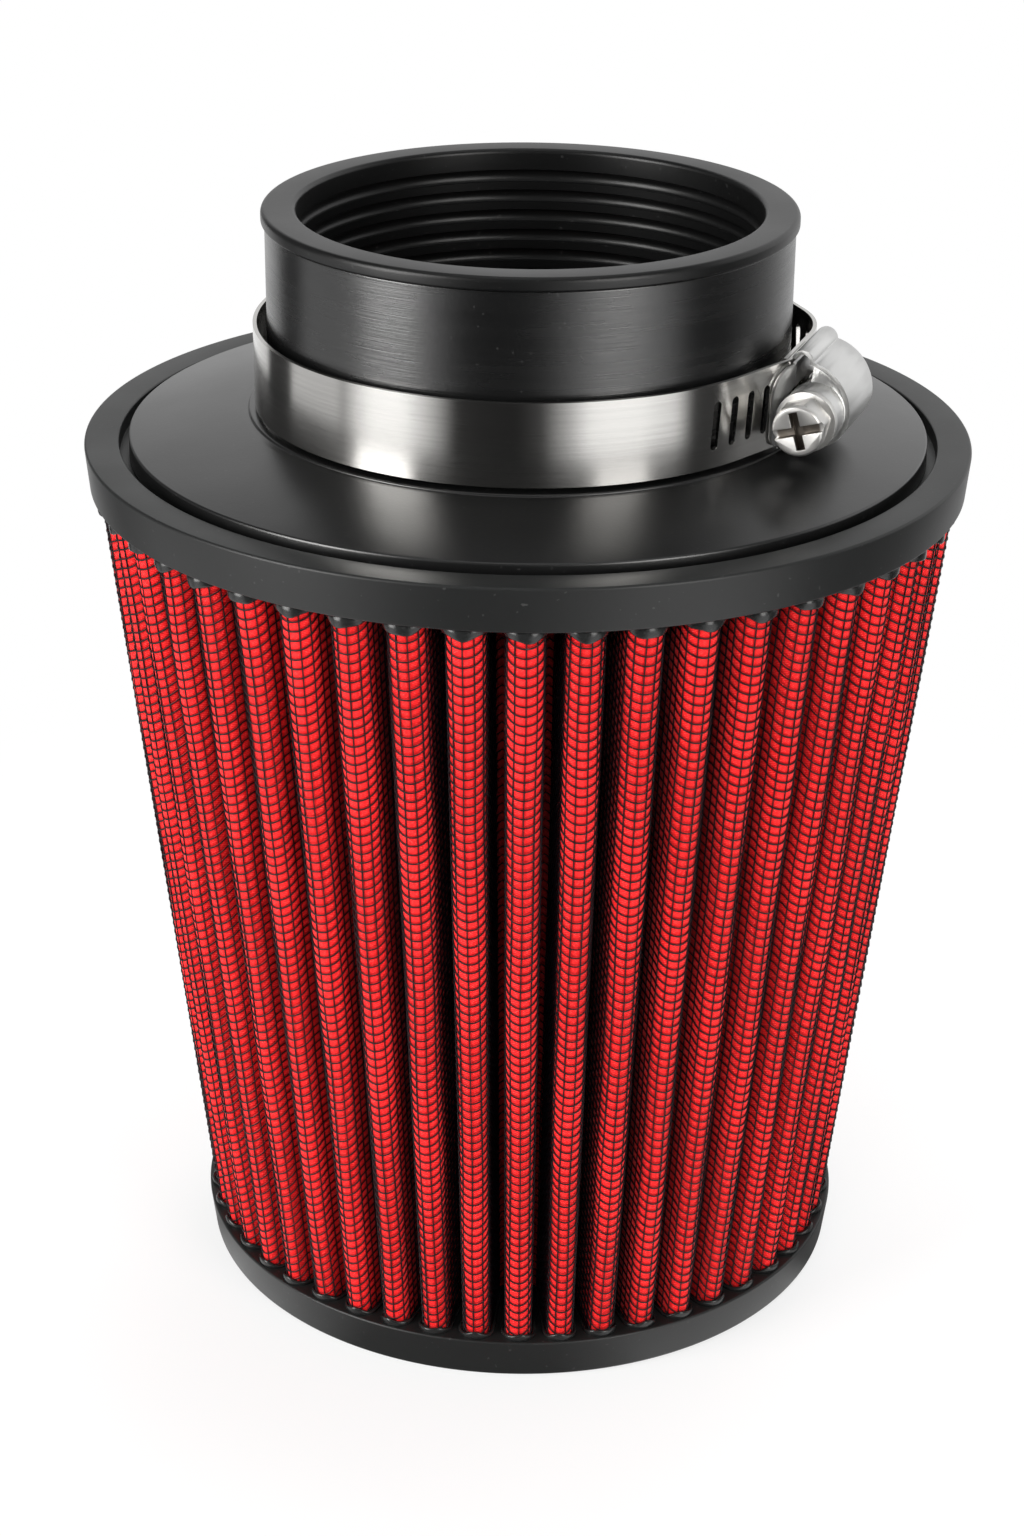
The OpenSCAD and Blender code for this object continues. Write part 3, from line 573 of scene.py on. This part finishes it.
def strip_plan():
    """All stretches from the slotted end to the fixed end, with shared edge points merged."""
    parts, at = [], 0.0
    for slots in (front_slots, back_slots):
        edges = np.concatenate([[slots[0] - 1.9], (slots[1:] + slots[:-1]) / 2, [slots[-1] + 1.9]])
        edges = np.clip(edges, 0.0, path_at[-1])
        if edges[0] - at > 0.05:
            parts.append(plain_stretch(at, edges[0]))
        parts += [slot_tile(m, a, b) for m, a, b in zip(slots, edges[:-1], edges[1:])]
        at = edges[-1]
    if path_at[-1] - at > 0.05:
        parts.append(plain_stretch(at, path_at[-1]))
    points = np.concatenate([part[0] for part in parts])
    first = np.cumsum([0] + [len(part[0]) for part in parts[:-1]])
    faces = np.concatenate([part[1] + n for part, n in zip(parts, first)])
    keys, back = np.unique(np.round(points, 3), axis=0, return_inverse=True)
    return keys, back.ravel()[faces]


strip, strip_faces = strip_plan()
band = new_piece("clamp_band_bent", on_band(strip[:, 0], strip[:, 1], 0.0) * MM, strip_faces,
                 strip[strip_faces].reshape(-1, 2))
wall = band.modifiers.new("thickness", "SOLIDIFY")
wall.thickness, wall.offset = BAND_T * MM, 0.0
break_edges(band, 0.13, 50)
print("the band's strip has", len(strip_faces), "faces")

# %% [markdown]
# ## Housing, saddle and screw
# These three are small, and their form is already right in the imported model. What a stamped or
# cold-formed steel part has, and a bare solid lacks, is edges that are a little rounded. A copy
# of the node's mesh is merged into a closed skin, its flat faces are joined, and a narrow bevel
# rounds every edge sharper than 30 degrees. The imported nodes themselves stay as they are.

# %% Soft-edged copies
def soft_edged(node, name, width):
    """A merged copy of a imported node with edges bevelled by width, in mm."""
    work = bmesh.new()
    work.from_mesh(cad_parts[node].data)
    bmesh.ops.remove_doubles(work, verts=work.verts, dist=2e-6)
    bmesh.ops.dissolve_limit(work, angle_limit=math.radians(0.4), verts=work.verts,
                             edges=work.edges)
    mesh = bpy.data.meshes.new(name)
    work.to_mesh(mesh)
    work.free()
    mesh.polygons.foreach_set("use_smooth", np.ones(len(mesh.polygons), dtype=bool))
    piece = placed(name, mesh)
    break_edges(piece, width, 30)
    print(name, "has", len(mesh.polygons), "faces before its bevel")
    return piece


housing = soft_edged("clamp_housing", "clamp_housing_pressed", 0.14)
saddle = soft_edged("clamp_saddle", "clamp_saddle_pressed", 0.12)
screw = soft_edged("clamp_screw", "clamp_screw_formed", 0.12)

# %% [markdown]
# ## Finishes
# Every finish starts as one Principled shader whose steady values are set on its own sockets.
# What changes over the surface comes from small patterns: grain, drawn lines, woven gauze. Each
# pattern that more than one finish needs is a node group, built once and placed with its own
# values.

# %% Helpers for shaders
def add(tree, kind, **settings):
    """A new node with its settings."""
    node = tree.nodes.new(kind)
    for name, value in settings.items():
        setattr(node, name, value)
    return node


def calc(tree, operation, *values):
    """A Math node whose inputs are sockets or plain numbers. Gives its output socket."""
    node = add(tree, "ShaderNodeMath", operation=operation)
    for socket, value in zip(node.inputs, values):
        if isinstance(value, (int, float)):
            socket.default_value = value
        else:
            tree.links.new(value, socket)
    return node.outputs[0]


def times(tree, a, b):
    """The product of two values."""
    return calc(tree, "MULTIPLY", a, b)


def plus(tree, a, b):
    """The sum of two values."""
    return calc(tree, "ADD", a, b)


def length(tree, a, b):
    """The length sqrt(a^2 + b^2) of the arrow with sides a and b."""
    return calc(tree, "SQRT", plus(tree, calc(tree, "POWER", a, 2.0), calc(tree, "POWER", b, 2.0)))


def remapped(tree, value, low, high, first=0.0, last=1.0):
    """The value's way from low to high, as a smooth step from first to last."""
    node = add(tree, "ShaderNodeMapRange", interpolation_type="SMOOTHSTEP")
    labels = ("From Min", "From Max", "To Min", "To Max")
    for label, number in zip(labels, (low, high, first, last)):
        node.inputs[label].default_value = number
    tree.links.new(value, node.inputs["Value"])
    return node.outputs[0]


def object_place(tree):
    """Where a point lies in its piece, in metres."""
    return add(tree, "ShaderNodeTexCoord").outputs["Object"]


def split(tree, vector):
    """The X, Y and Z of a vector."""
    node = add(tree, "ShaderNodeSeparateXYZ")
    tree.links.new(vector, node.inputs[0])
    return node.outputs


def new_group(name, inputs, outputs):
    """An empty shader group with named sockets, given as name, kind and default."""
    group = bpy.data.node_groups.new(name, "ShaderNodeTree")
    for label, kind, value in inputs:
        socket = group.interface.new_socket(label, in_out="INPUT", socket_type=kind)
        if value is not None:
            socket.default_value = value
    for label, kind in outputs:
        group.interface.new_socket(label, in_out="OUTPUT", socket_type=kind)
    return group, add(group, "NodeGroupInput"), add(group, "NodeGroupOutput")


def finish(name, colour, roughness, metallic=0.0, **steady):
    """A material whose shader sockets hold the values that are the same all over. Gives the
    material and its shader."""
    m = bpy.data.materials.new(name)
    m.use_nodes = True
    shader = m.node_tree.nodes["Principled BSDF"]
    shader.inputs["Base Color"].default_value = (*colour, 1)
    shader.inputs["Roughness"].default_value = roughness
    shader.inputs["Metallic"].default_value = metallic
    for label, value in steady.items():
        shader.inputs[label.replace("_", " ").title().replace("Ior", "IOR")].default_value = value
    return m, shader


def drive(shader, label, value):
    """Lets a socket of the shader's own tree set one of its inputs."""
    shader.id_data.links.new(value, shader.inputs[label])


def paint(piece, material):
    """Gives the piece that one material."""
    piece.data.materials.clear()
    piece.data.materials.append(material)


def pattern(tree, group, socket, stretch=(1, 1, 1), **values):
    """Places a group in a material. Its Place comes from the texture coordinate socket, which
    is Object or UV, stretched by stretch. The other inputs get plain values."""
    source = add(tree, "ShaderNodeTexCoord")
    mapping = add(tree, "ShaderNodeMapping")
    mapping.inputs["Scale"].default_value = stretch
    tree.links.new(source.outputs[socket], mapping.inputs["Vector"])
    node = add(tree, "ShaderNodeGroup", node_tree=group)
    tree.links.new(mapping.outputs[0], node.inputs["Place"])
    for label, value in values.items():
        node.inputs[label].default_value = value
    return node.outputs


def ranged(tree, value, low, high):
    """The value, from 0 to 1, moved to the range from low to high."""
    return calc(tree, "MULTIPLY_ADD", value, high - low, low)


def blended(tree, mask, first, second):
    """A colour that goes from first to second as the mask goes from 0 to 1. Both are plain
    colours or sockets."""
    mix = add(tree, "ShaderNodeMix", data_type="RGBA", clamp_factor=True)
    tree.links.new(mask, mix.inputs[0])
    for socket, value in zip(mix.inputs[6:8], (first, second)):
        if isinstance(value, tuple):
            socket.default_value = (*value, 1)
        else:
            tree.links.new(value, socket)
    return mix.outputs[2]


def relief(tree, shader, height, distance, strength=1.0):
    """Bumps of the height, distance metres high, over the shader's surface."""
    bump = add(tree, "ShaderNodeBump")
    bump.inputs["Strength"].default_value = strength
    bump.inputs["Distance"].default_value = distance
    tree.links.new(height, bump.inputs["Height"])
    tree.links.new(bump.outputs[0], shader.inputs["Normal"])


def cloud(group, place, scale, detail=3.0):
    """A Noise texture's value over the place, 0 to 1."""
    noise = add(group, "ShaderNodeTexNoise")
    noise.inputs["Scale"].default_value = scale
    noise.inputs["Detail"].default_value = detail
    group.links.new(place, noise.inputs["Vector"])
    return noise.outputs["Fac"]

# %% [markdown]
# Moulded rubber is smooth only from afar. Close up it has a fine grain from the mould, soft
# wrinkles where it shrank, and a few specks of dust. Three noises at three scales give these.

# %% Moulded grain
def moulded_grain():
    """Height is 0.5 fine + 0.35 wrinkle + 0.15 broad. Wrinkle is 1 - |2 noise - 1|, which turns
    a noise's middle level into thin ridges. Dust is the rare top of a very fine noise."""
    group, into, out = new_group("moulded_grain", [
        ("Place", "NodeSocketVector", None), ("Grain", "NodeSocketFloat", 2600.0),
        ("Wrinkle", "NodeSocketFloat", 420.0)],
        [("Height", "NodeSocketFloat"), ("Broad", "NodeSocketFloat"), ("Dust", "NodeSocketFloat")])
    place = into.outputs["Place"]
    fine = cloud(group, place, 2600.0, 2.0)
    group.links.new(into.outputs["Grain"], fine.node.inputs["Scale"])
    ridge = cloud(group, place, 420.0, 4.0)
    group.links.new(into.outputs["Wrinkle"], ridge.node.inputs["Scale"])
    ridge.node.inputs["Distortion"].default_value = 0.6
    fold = calc(group, "ABSOLUTE", calc(group, "MULTIPLY_ADD", ridge, 2.0, -1.0))
    wrinkle = calc(group, "SUBTRACT", 1.0, fold)
    broad = cloud(group, place, 55.0, 3.0)
    total = plus(group, times(group, fine, 0.5), times(group, wrinkle, 0.35))
    group.links.new(calc(group, "MULTIPLY_ADD", broad, 0.15, total), out.inputs["Height"])
    group.links.new(broad, out.inputs["Broad"])
    dust = cloud(group, place, 1500.0, 0.0)
    group.links.new(calc(group, "GREATER_THAN", dust, 0.82), out.inputs["Dust"])
    return group


grain = moulded_grain()

# %% [markdown]
# A wiped tube and a rolled band both have fine lines along them. A noise that is stretched far
# along the piece and pressed together across it gives such lines. The material does the
# stretching, because it knows which way its own piece was drawn.

# %% Drawn lines
def drawn_lines():
    """Lines is a stretched noise with sharpened contrast, and Streaks a broader one."""
    group, into, out = new_group("drawn_lines", [("Place", "NodeSocketVector", None)],
                                 [("Lines", "NodeSocketFloat"), ("Streaks", "NodeSocketFloat")])
    lines = cloud(group, into.outputs["Place"], 1.0, 4.0)
    sharper = add(group, "ShaderNodeMapRange")
    sharper.inputs["From Min"].default_value, sharper.inputs["From Max"].default_value = 0.3, 0.7
    group.links.new(lines, sharper.inputs["Value"])
    group.links.new(sharper.outputs[0], out.inputs["Lines"])
    group.links.new(cloud(group, into.outputs["Place"], 0.17, 2.0), out.inputs["Streaks"])
    return group


lines = drawn_lines()

# %% [markdown]
# The neck and the plate are one satin black plastic, and the tube's outside is rubbed round by
# the clamp and by hands. The sleeve, the ring and the cap are duller rubber. One function makes
# all the rubbers, and only the tube's part of the plastic gets the rubbed lines.

# %% Black mouldings
BLACK, BLACK_DUST = (0.003, 0.0031, 0.0032), (0.018, 0.018, 0.018)
neck_black, shader = finish("satin_black_moulding", BLACK, 0.30, specular_ior_level=0.9)
tree = neck_black.node_tree
rubbed = pattern(tree, lines, "Object", (70, 70, 5200))
skin = pattern(tree, grain, "Object", Grain=2300.0, Wrinkle=330.0)
on_tube = calc(tree, "GREATER_THAN", split(tree, object_place(tree))["Z"], SHOULDER_Z * MM)
tube_height = times(tree, rubbed["Lines"], on_tube)
plate_height = times(tree, skin["Height"], 0.55)
both = plus(tree, times(tree, tube_height, 0.38), plate_height)
relief(tree, shader, both, 0.00005, 0.6)
glossier = times(tree, calc(tree, "MULTIPLY_ADD", rubbed["Streaks"], 0.10, -0.08), on_tube)
rough = plus(tree, ranged(tree, skin["Broad"], 0.25, 0.35), glossier)
drive(shader, "Roughness", rough)
drive(shader, "Base Color", blended(tree, skin["Dust"], BLACK, BLACK_DUST))


def rubber(name, colour, light, low, high, depth):
    """Rubber of a colour with lighter dust, whose gloss and grain vary over the surface."""
    m, shader = finish(name, colour, low, specular_ior_level=0.42)
    tree = m.node_tree
    skin = pattern(tree, grain, "Object", Grain=3000.0, Wrinkle=600.0)
    relief(tree, shader, skin["Height"], depth, 0.5)
    drive(shader, "Roughness", ranged(tree, skin["Broad"], low, high))
    drive(shader, "Base Color", blended(tree, skin["Dust"], colour, light))
    return m


sleeve_rubber = rubber("soft_black_rubber", BLACK, BLACK_DUST, 0.30, 0.42, 0.00003)
ring_rubber = rubber("grey_black_rubber", (0.0085, 0.009, 0.009), (0.03, 0.03, 0.03),
                     0.34, 0.48, 0.00003)
collar_rubber = rubber("cast_collar_rubber", (0.012, 0.0125, 0.0125), (0.02, 0.02, 0.02),
                       0.16, 0.30, 0.00004)

# %% [markdown]
# ## Oiled cotton gauze
# The cloth's own UV map counts wire cells, so the pattern knows where each wire presses the
# cotton down. Between the wires the cotton swells like a small pillow, and its threads run both
# ways, about four to a cell. Red oil soaks in unevenly. The colour also holds painted light: the
# swells are lighter and their edges at the wires darker as painted shade, pale flecks on them are
# painted highlights, and a mask that grows with the depth below the noses paints the valleys
# nearly black with painted shade.

# %% Gauze in wire cells
def gauze_cells():
    """Pillow is (1 - a^4)(1 - b^4), where a and b go from 0 in a cell's middle to 1 at its
    wires. Weave is sin(8 pi u) sin(8 pi v), moved to 0 to 1 and frayed by noise."""
    group, into, out = new_group("gauze_cells", [("Place", "NodeSocketVector", None)],
                                 [("Pillow", "NodeSocketFloat"), ("Weave", "NodeSocketFloat")])
    swells, waves = [], []
    for axis in split(group, into.outputs["Place"])[:2]:
        away = calc(group, "ABSOLUTE", calc(group, "SUBTRACT", calc(group, "FRACT", axis), 0.5))
        fourth = calc(group, "POWER", times(group, away, 2.0), 4.0)
        swells.append(calc(group, "SUBTRACT", 1.0, fourth))
        waves.append(calc(group, "SINE", times(group, axis, 8 * math.pi)))
    group.links.new(times(group, *swells), out.inputs["Pillow"])
    woven = calc(group, "MULTIPLY_ADD", times(group, *waves), 0.5, 0.5)
    noise = cloud(group, into.outputs["Place"], 4.5, 3.0)
    frayed = plus(group, times(group, woven, 0.5), times(group, noise, 0.5))
    group.links.new(frayed, out.inputs["Weave"])
    return group


gauze = gauze_cells()
red_cotton, shader = finish("oiled_red_cotton", (0.80, 0.02, 0.025), 0.6, sheen_weight=0.05,
                            sheen_roughness=0.5, specular_ior_level=0.15)
tree = red_cotton.node_tree
cells = pattern(tree, gauze, "UV")
height = plus(tree, times(tree, cells["Pillow"], 0.75), times(tree, cells["Weave"], 0.45))
relief(tree, shader, height, 0.00022, 0.9)
# Weave tone plus painted shade: the pillow term makes the colour darker at the wires and lighter in
# the middle of each cell.
weave_tone_and_shade = plus(tree, times(tree, cells["Pillow"], 0.4),
            calc(tree, "MULTIPLY_ADD", cells["Weave"], 1.5, -0.35))
cloth = blended(tree, weave_tone_and_shade, (0.48, 0.001, 0.002), (0.95, 0.008, 0.011))
# Painted highlights: pale pink flecks where the weave is high, only on the pillow tops.
weave_glint = calc(tree, "MULTIPLY_ADD", cells["Weave"], 6.0, -3.6)
painted_glint_flecks = times(tree, weave_glint, cells["Pillow"])
cloth = blended(tree, painted_glint_flecks, cloth, (0.95, 0.13, 0.115))
# Painted shade: the colour darkens to a nearly black red with depth below the noses, where the
# narrow valleys lie in shade.
parts = split(tree, object_place(tree))
away = length(tree, parts["X"], parts["Y"])
nose_at = calc(tree, "MULTIPLY_ADD", parts["Z"], TIP_GAIN / FOLD_H,
               (TIP_R - PACK_Z * TIP_GAIN / FOLD_H) * MM)
below = calc(tree, "MULTIPLY_ADD", calc(tree, "SUBTRACT", nose_at, away), 1 / (6 * MM), -0.4)
painted_valley_shade = calc(tree, "SMOOTH_MIN", below, 0.8, 0.2)
drive(shader, "Base Color", blended(tree, painted_valley_shade, cloth, (0.08, 0.001, 0.002)))
drive(shader, "Roughness", ranged(tree, cells["Weave"], 0.45, 0.75))

WIRE_BLACK = (0.006, 0.005, 0.007)
black_wire, shader = finish("black_coated_wire", WIRE_BLACK, 0.5, specular_ior_level=0.3)
tree = black_wire.node_tree
coat = pattern(tree, grain, "Object", Grain=4000.0, Wrinkle=1500.0)
drive(shader, "Roughness", ranged(tree, coat["Broad"], 0.4, 0.65))
drive(shader, "Base Color", blended(tree, coat["Dust"], WIRE_BLACK, (0.05, 0.03, 0.03)))

# %% [markdown]
# ## Steel
# The band is bright rolled stainless steel. Its fine lines run along it and spread a reflection
# across them, which turns lamps and cards into upright bars of light and dark. Anisotropy does
# that, with its direction from a Tangent node that turns about the axis. The pressed housing
# is duller and the screw has been tumbled, so both have an even gloss with a faint grain.

# %% Steel finishes
def steel(name, colour, low, high, socket, stretch, depth, anisotropic=0.0):
    """Steel with drawn lines. Its gloss goes from low to high between the lines."""
    m, shader = finish(name, colour, low, 1.0, anisotropic=anisotropic)
    tree = m.node_tree
    drawn = pattern(tree, lines, socket, stretch)
    relief(tree, shader, drawn["Lines"], depth, 0.35)
    both = plus(tree, times(tree, drawn["Lines"], 0.5), times(tree, drawn["Streaks"], 0.5))
    drive(shader, "Roughness", ranged(tree, both, low, high))
    dark = tuple(0.82 * c for c in colour)
    drive(shader, "Base Color", blended(tree, drawn["Streaks"], colour, dark))
    return m, shader


band_steel, shader = steel("rolled_stainless", (0.61, 0.60, 0.58), 0.10, 0.26, "UV",
                           (0.06, 9, 1), 0.000004, 0.7)
shader.inputs["Anisotropic Rotation"].default_value = 0.25
round_axis = add(band_steel.node_tree, "ShaderNodeTangent", direction_type="RADIAL", axis="Z")
band_steel.node_tree.links.new(round_axis.outputs[0], shader.inputs["Tangent"])
housing_steel, _ = steel("pressed_steel", (0.80, 0.80, 0.79), 0.34, 0.44, "Object",
                         (300, 300, 1500), 0.000008)
screw_steel, shader = steel("tumbled_steel", (0.78, 0.77, 0.75), 0.36, 0.48, "Object",
                            (900, 900, 900), 0.000006)

# %% [markdown]
# The recess in the screw's head is only a millimetre deep, but little light gets in and it looks
# almost black. A colour mask gives that: it is 1 below the head's face and near the screw's
# axis. It is worked out in the piece's own frame, so it turns with the screw.

# %% Dark recess of the screw
screw_points = np.empty(3 * len(screw.data.vertices))
screw.data.vertices.foreach_get("co", screw_points)
screw_points = screw_points.reshape(-1, 3)
SCREW_WAY = np.array([math.sin(CLAMP_TURN), math.cos(CLAMP_TURN), 0])
OUT_WAY = np.array([math.cos(CLAMP_TURN), -math.sin(CLAMP_TURN), 0])
UP_WAY = np.array([0, 0, 1.0])
face_at = (screw_points @ SCREW_WAY).min()
middle = [(v.min() + v.max()) / 2 for v in (screw_points @ OUT_WAY, screw_points[:, 2])]
tree = screw_steel.node_tree
place = object_place(tree)
offsets = []
for way, start in ((SCREW_WAY, face_at), (OUT_WAY, middle[0]), (UP_WAY, middle[1])):
    along = add(tree, "ShaderNodeVectorMath", operation="DOT_PRODUCT")
    tree.links.new(place, along.inputs[0])
    along.inputs[1].default_value = tuple(way)
    offsets.append(calc(tree, "SUBTRACT", along.outputs["Value"], float(start)))
deep = remapped(tree, offsets[0], 0.05 * MM, 0.6 * MM)
near = remapped(tree, length(tree, offsets[1], offsets[2]), 3.75 * MM, 3.3 * MM)
inside = times(tree, deep, near)
bright = shader.inputs["Base Color"].links[0].from_socket
drive(shader, "Base Color", blended(tree, inside, bright, (0.17, 0.15, 0.13)))
print("the screw's face lies", round(float(face_at) / MM, 2), "mm along its axis")

# %% [markdown]
# One material serves each kind of stuff, so what was cast or pressed together looks alike.

# %% Which piece has which finish
for piece, material in (
        (neck_plate, neck_black), (sleeve, sleeve_rubber), (ring, ring_rubber), (cap, ring_rubber),
        (ring_collars, collar_rubber), (cap_collars, collar_rubber), (cotton, red_cotton),
        (band, band_steel), (housing, housing_steel), (saddle, housing_steel),
        (screw, screw_steel)):
    paint(piece, material)
for piece in screen + back:
    paint(piece, black_wire)

# %% [markdown]
# ## Each piece follows its body
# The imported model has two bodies: the filter, and the screw that turns in the clamp. A piece
# rides on the body that its own solid belongs to, and stands in for that solid in the picture.
# The solids stay in the model for collision.

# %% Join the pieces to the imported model
for pieces, node, slot_name, body in (
        ([neck_plate], "neck_flange", "neck_plastic", "filter"),
        ([sleeve], "neck_sleeve", "neck_rubber", "filter"),
        ([ring, ring_collars], "top_ring", "ring_rubber", "filter"),
        ([cap, cap_collars], "base_cap", "cap_rubber", "filter"),
        ([cotton], "pleated_media", "cotton", "filter"),
        (screen, "outer_screen", "wire", "filter"), (back, "inner_screen", "wire", "filter"),
        ([band], "clamp_band", "band_steel", "filter"),
        ([saddle], "clamp_saddle", "housing_steel", "filter"),
        ([housing], "clamp_housing", "housing_steel", "filter"),
        ([screw], "clamp_screw", "screw_steel", "screw")):
    for piece in pieces:
        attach(piece, body)
        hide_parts(node)
band_box = [[round(c / MM, 1) for c in corner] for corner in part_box("clamp_band")]
print("the band's box in mm:", band_box)

# %% [markdown]
# ## Camera
# A photograph fixes its camera: the ellipses of the ring and the rim give the height, and
# the way in which they shrink towards the foot gives the distance. This one stood half a metre
# in front of the filter and looked down by about 25 degrees.

# %% Camera
def look(location, right, up):
    """A camera matrix from its place and its right and up directions."""
    back_way = np.cross(right, up)
    m = np.eye(4)
    m[:3, 0], m[:3, 1], m[:3, 2], m[:3, 3] = right, up, back_way, location
    return m


PITCH, YAW, ROLL = 0.4332, -0.0044, 0.0093
PHOTO_H, FOCAL_PIXELS, FILM = 1536, 3057.17, 36
ahead_way = np.array([math.sin(YAW) * math.cos(PITCH), math.cos(YAW) * math.cos(PITCH),
                      -math.sin(PITCH)])
level = np.array([math.cos(YAW), -math.sin(YAW), 0.0])
upright = np.cross(level, ahead_way)
right_way = level * math.cos(ROLL) + upright * math.sin(ROLL)
up_way = -level * math.sin(ROLL) + upright * math.cos(ROLL)
camera_data = bpy.data.cameras.new("portrait_camera")
camera_data.sensor_fit = "AUTO"
camera_data.sensor_width = FILM
camera_data.lens = FILM * FOCAL_PIXELS / PHOTO_H
camera_data.clip_start, camera_data.clip_end = 0.01, 20
camera = placed("portrait_camera", camera_data)
camera.matrix_world = Matrix(look((0, -0.48945, 0.31492), right_way, up_way).tolist())
bpy.context.scene.camera = camera

# %% [markdown]
# ## Floor, cards and lamps
# A product studio is a pale sweep with soft lamps on both sides, and black cards where a
# reflection has to stay dark. Cards are what draw a polished band: with white all round, it
# would be plain white. So the bounced rays that make reflections see a pattern of white and
# dark by direction, and rays from the camera see the plain white sweep. The lamps that only
# fill are hidden from reflections.

# %% Lamps
def area_lamp(name, place, aim, size, power, colour=(1, 1, 1)):
    """A soft rectangular lamp at place that shines towards aim."""
    data = bpy.data.lights.new(name, "AREA")
    data.shape = "RECTANGLE"
    data.size, data.size_y = size
    data.energy, data.color = power, colour
    lamp = placed(name, data)
    away = np.array(place, float) - np.array(aim, float)
    away /= np.linalg.norm(away)
    side = np.cross([0, 0, 1.0], away)
    side /= np.linalg.norm(side)
    lamp.matrix_world = Matrix(look(place, side, np.cross(away, side)).tolist())
    return lamp


area_lamp("left_softbox", (-0.75, -0.45, 0.42), (0, 0, 0.10), (0.42, 0.7), 8.8, (1, 0.99, 0.975))
area_lamp("right_softbox", (0.53, -0.70, 0.44), (0, 0, 0.10), (0.36, 0.7), 4.3, (1, 0.985, 0.965))
for values in (("overhead_softbox", (0.12, 0.22, 1.1), (0, 0, 0.12), (0.8, 0.5), 8),
               ("front_fill", (-0.22, -1.2, 0.95), (0, 0, 0.08), (0.7, 0.5), 6),
               ("rear_fill", (0.35, 1.1, 0.6), (0, 0, 0.08), (0.7, 0.5), 6)):
    area_lamp(*values).visible_glossy = False
print("five lamps, of which three are hidden from reflections")

# %% [markdown]
# The cards stand in two rows. The camera looks down, so upright walls such as the band and the
# tube mirror the floor, and the low cards draw them. The plate and the rims face upwards and
# mirror the high cards. Each row is a list of turns round the filter, in degrees from the
# camera's side, with how bright the card there is. A dim card overhead keeps the plate from
# going black where it is seen from above.

# %% Cards seen in reflections
FLOOR_CARDS = [(-180, 1.0), (-146, 1.0), (-134, 0.9), (-131, 0.05), (-112, 0.05), (-110, 0.8),
               (-82, 0.75), (-79, 0.4), (-72, 1.0), (-64, 1.5), (-50, 1.5), (-40, 0.9), (-29, 0.03),
               (-4, 0.02), (6, 0.07), (16, 0.7), (24, 1.5), (46, 1.5), (60, 1.2), (68, 0.05),
               (92, 0.05), (112, 0.35), (136, 0.8), (180, 1.0)]
WALL_CARDS = [(-180, 0.85), (-163, 0.85), (-148, 0.15), (-78, 0.05), (70, 0.05), (84, 0.25),
              (98, 0.95), (145, 1.0), (165, 0.85), (180, 0.85)]


def card_light(tree, vector, cards):
    """The level of the cards, given as turn and level, at the turn atan2(x, -y) of a vector.
    The ramp holds half of each level, because a ramp's colours end at 1."""
    parts = split(tree, vector)
    turn = calc(tree, "ARCTAN2", parts["X"], times(tree, parts["Y"], -1.0))
    ramp = add(tree, "ShaderNodeValToRGB")
    ends = ramp.color_ramp.elements
    while len(ends) < len(cards):
        ends.new(0.5)
    for stop, (degrees, level) in zip(ends, cards):
        stop.position = (degrees + 180) / 360
        stop.color = (level / 2, level / 2, level / 2, 1)
    tree.links.new(calc(tree, "MULTIPLY_ADD", turn, 1 / (2 * math.pi), 0.5), ramp.inputs[0])
    return times(tree, ramp.outputs[0], 2.0)


print(len(FLOOR_CARDS), "stops low down and", len(WALL_CARDS), "higher up")

# %% [markdown]
# The floor takes the filter's soft shadow close by and fades into the same white as the
# surroundings further out, as a paper sweep does. So it is a mix of a pale surface and a glow,
# and the share of glow grows with the distance from the filter.

# %% Floor and surroundings
def background_strength(tree, seen, plain):
    """White, 1, for rays from the camera and through glass, the cards for reflections, and the
    plain level for the light that falls on the object."""
    path = add(tree, "ShaderNodeLightPath")
    camera_ray, glass_ray, glossy_ray = [
        path.outputs[f"Is {kind} Ray"] for kind in ("Camera", "Transmission", "Glossy")]
    direct = calc(tree, "MAXIMUM", camera_ray, glass_ray)
    bounced = times(tree, glossy_ray, seen)
    known = calc(tree, "MAXIMUM", direct, glossy_ray)
    rest = times(tree, calc(tree, "SUBTRACT", 1.0, known), plain)
    return plus(tree, plus(tree, direct, bounced), rest), known


floor_corners = 4 * np.array([[-1, -1, 0], [1, -1, 0], [1, 1, 0], [-1, 1, 0]]) - [0, 0, 0.1 * MM]
floor = new_piece("floor", floor_corners, np.array([[0, 1, 2, 3]]))
floor_paint, shader = finish("pale_floor", (0.82, 0.82, 0.82), 0.7)
tree = floor_paint.node_tree
place = object_place(tree)
strength, known = background_strength(tree, card_light(tree, place, FLOOR_CARDS), 0.0)
distance = add(tree, "ShaderNodeVectorMath", operation="LENGTH")
tree.links.new(place, distance.inputs[0])
fade = remapped(tree, distance.outputs["Value"], 0.06, 0.26, 0.72, 1.0)
glow = add(tree, "ShaderNodeEmission")
tree.links.new(strength, glow.inputs["Strength"])
mix = add(tree, "ShaderNodeMixShader")
tree.links.new(times(tree, known, fade), mix.inputs[0])
tree.links.new(shader.outputs[0], mix.inputs[1])
tree.links.new(glow.outputs[0], mix.inputs[2])
tree.links.new(mix.outputs[0], tree.nodes["Material Output"].inputs["Surface"])
paint(floor, floor_paint)

world = bpy.data.worlds.new("studio")
bpy.context.scene.world = world
world.use_nodes = True
tree = world.node_tree
direction = add(tree, "ShaderNodeTexCoord").outputs["Generated"]
up = split(tree, direction)["Z"]
ceiling = remapped(tree, up, 0.60, 0.75, 1.0, 0.12)
top_card = remapped(tree, up, 0.82, 0.95, 0.0, 0.6)
walls = plus(tree, times(tree, card_light(tree, direction, WALL_CARDS), ceiling), top_card)
strength, _ = background_strength(tree, walls, 0.35)
tree.links.new(strength, tree.nodes["Background"].inputs["Strength"])
tree.nodes["Background"].inputs["Color"].default_value = (1, 1, 1, 1)
bpy.context.scene.view_settings.view_transform = "Standard"
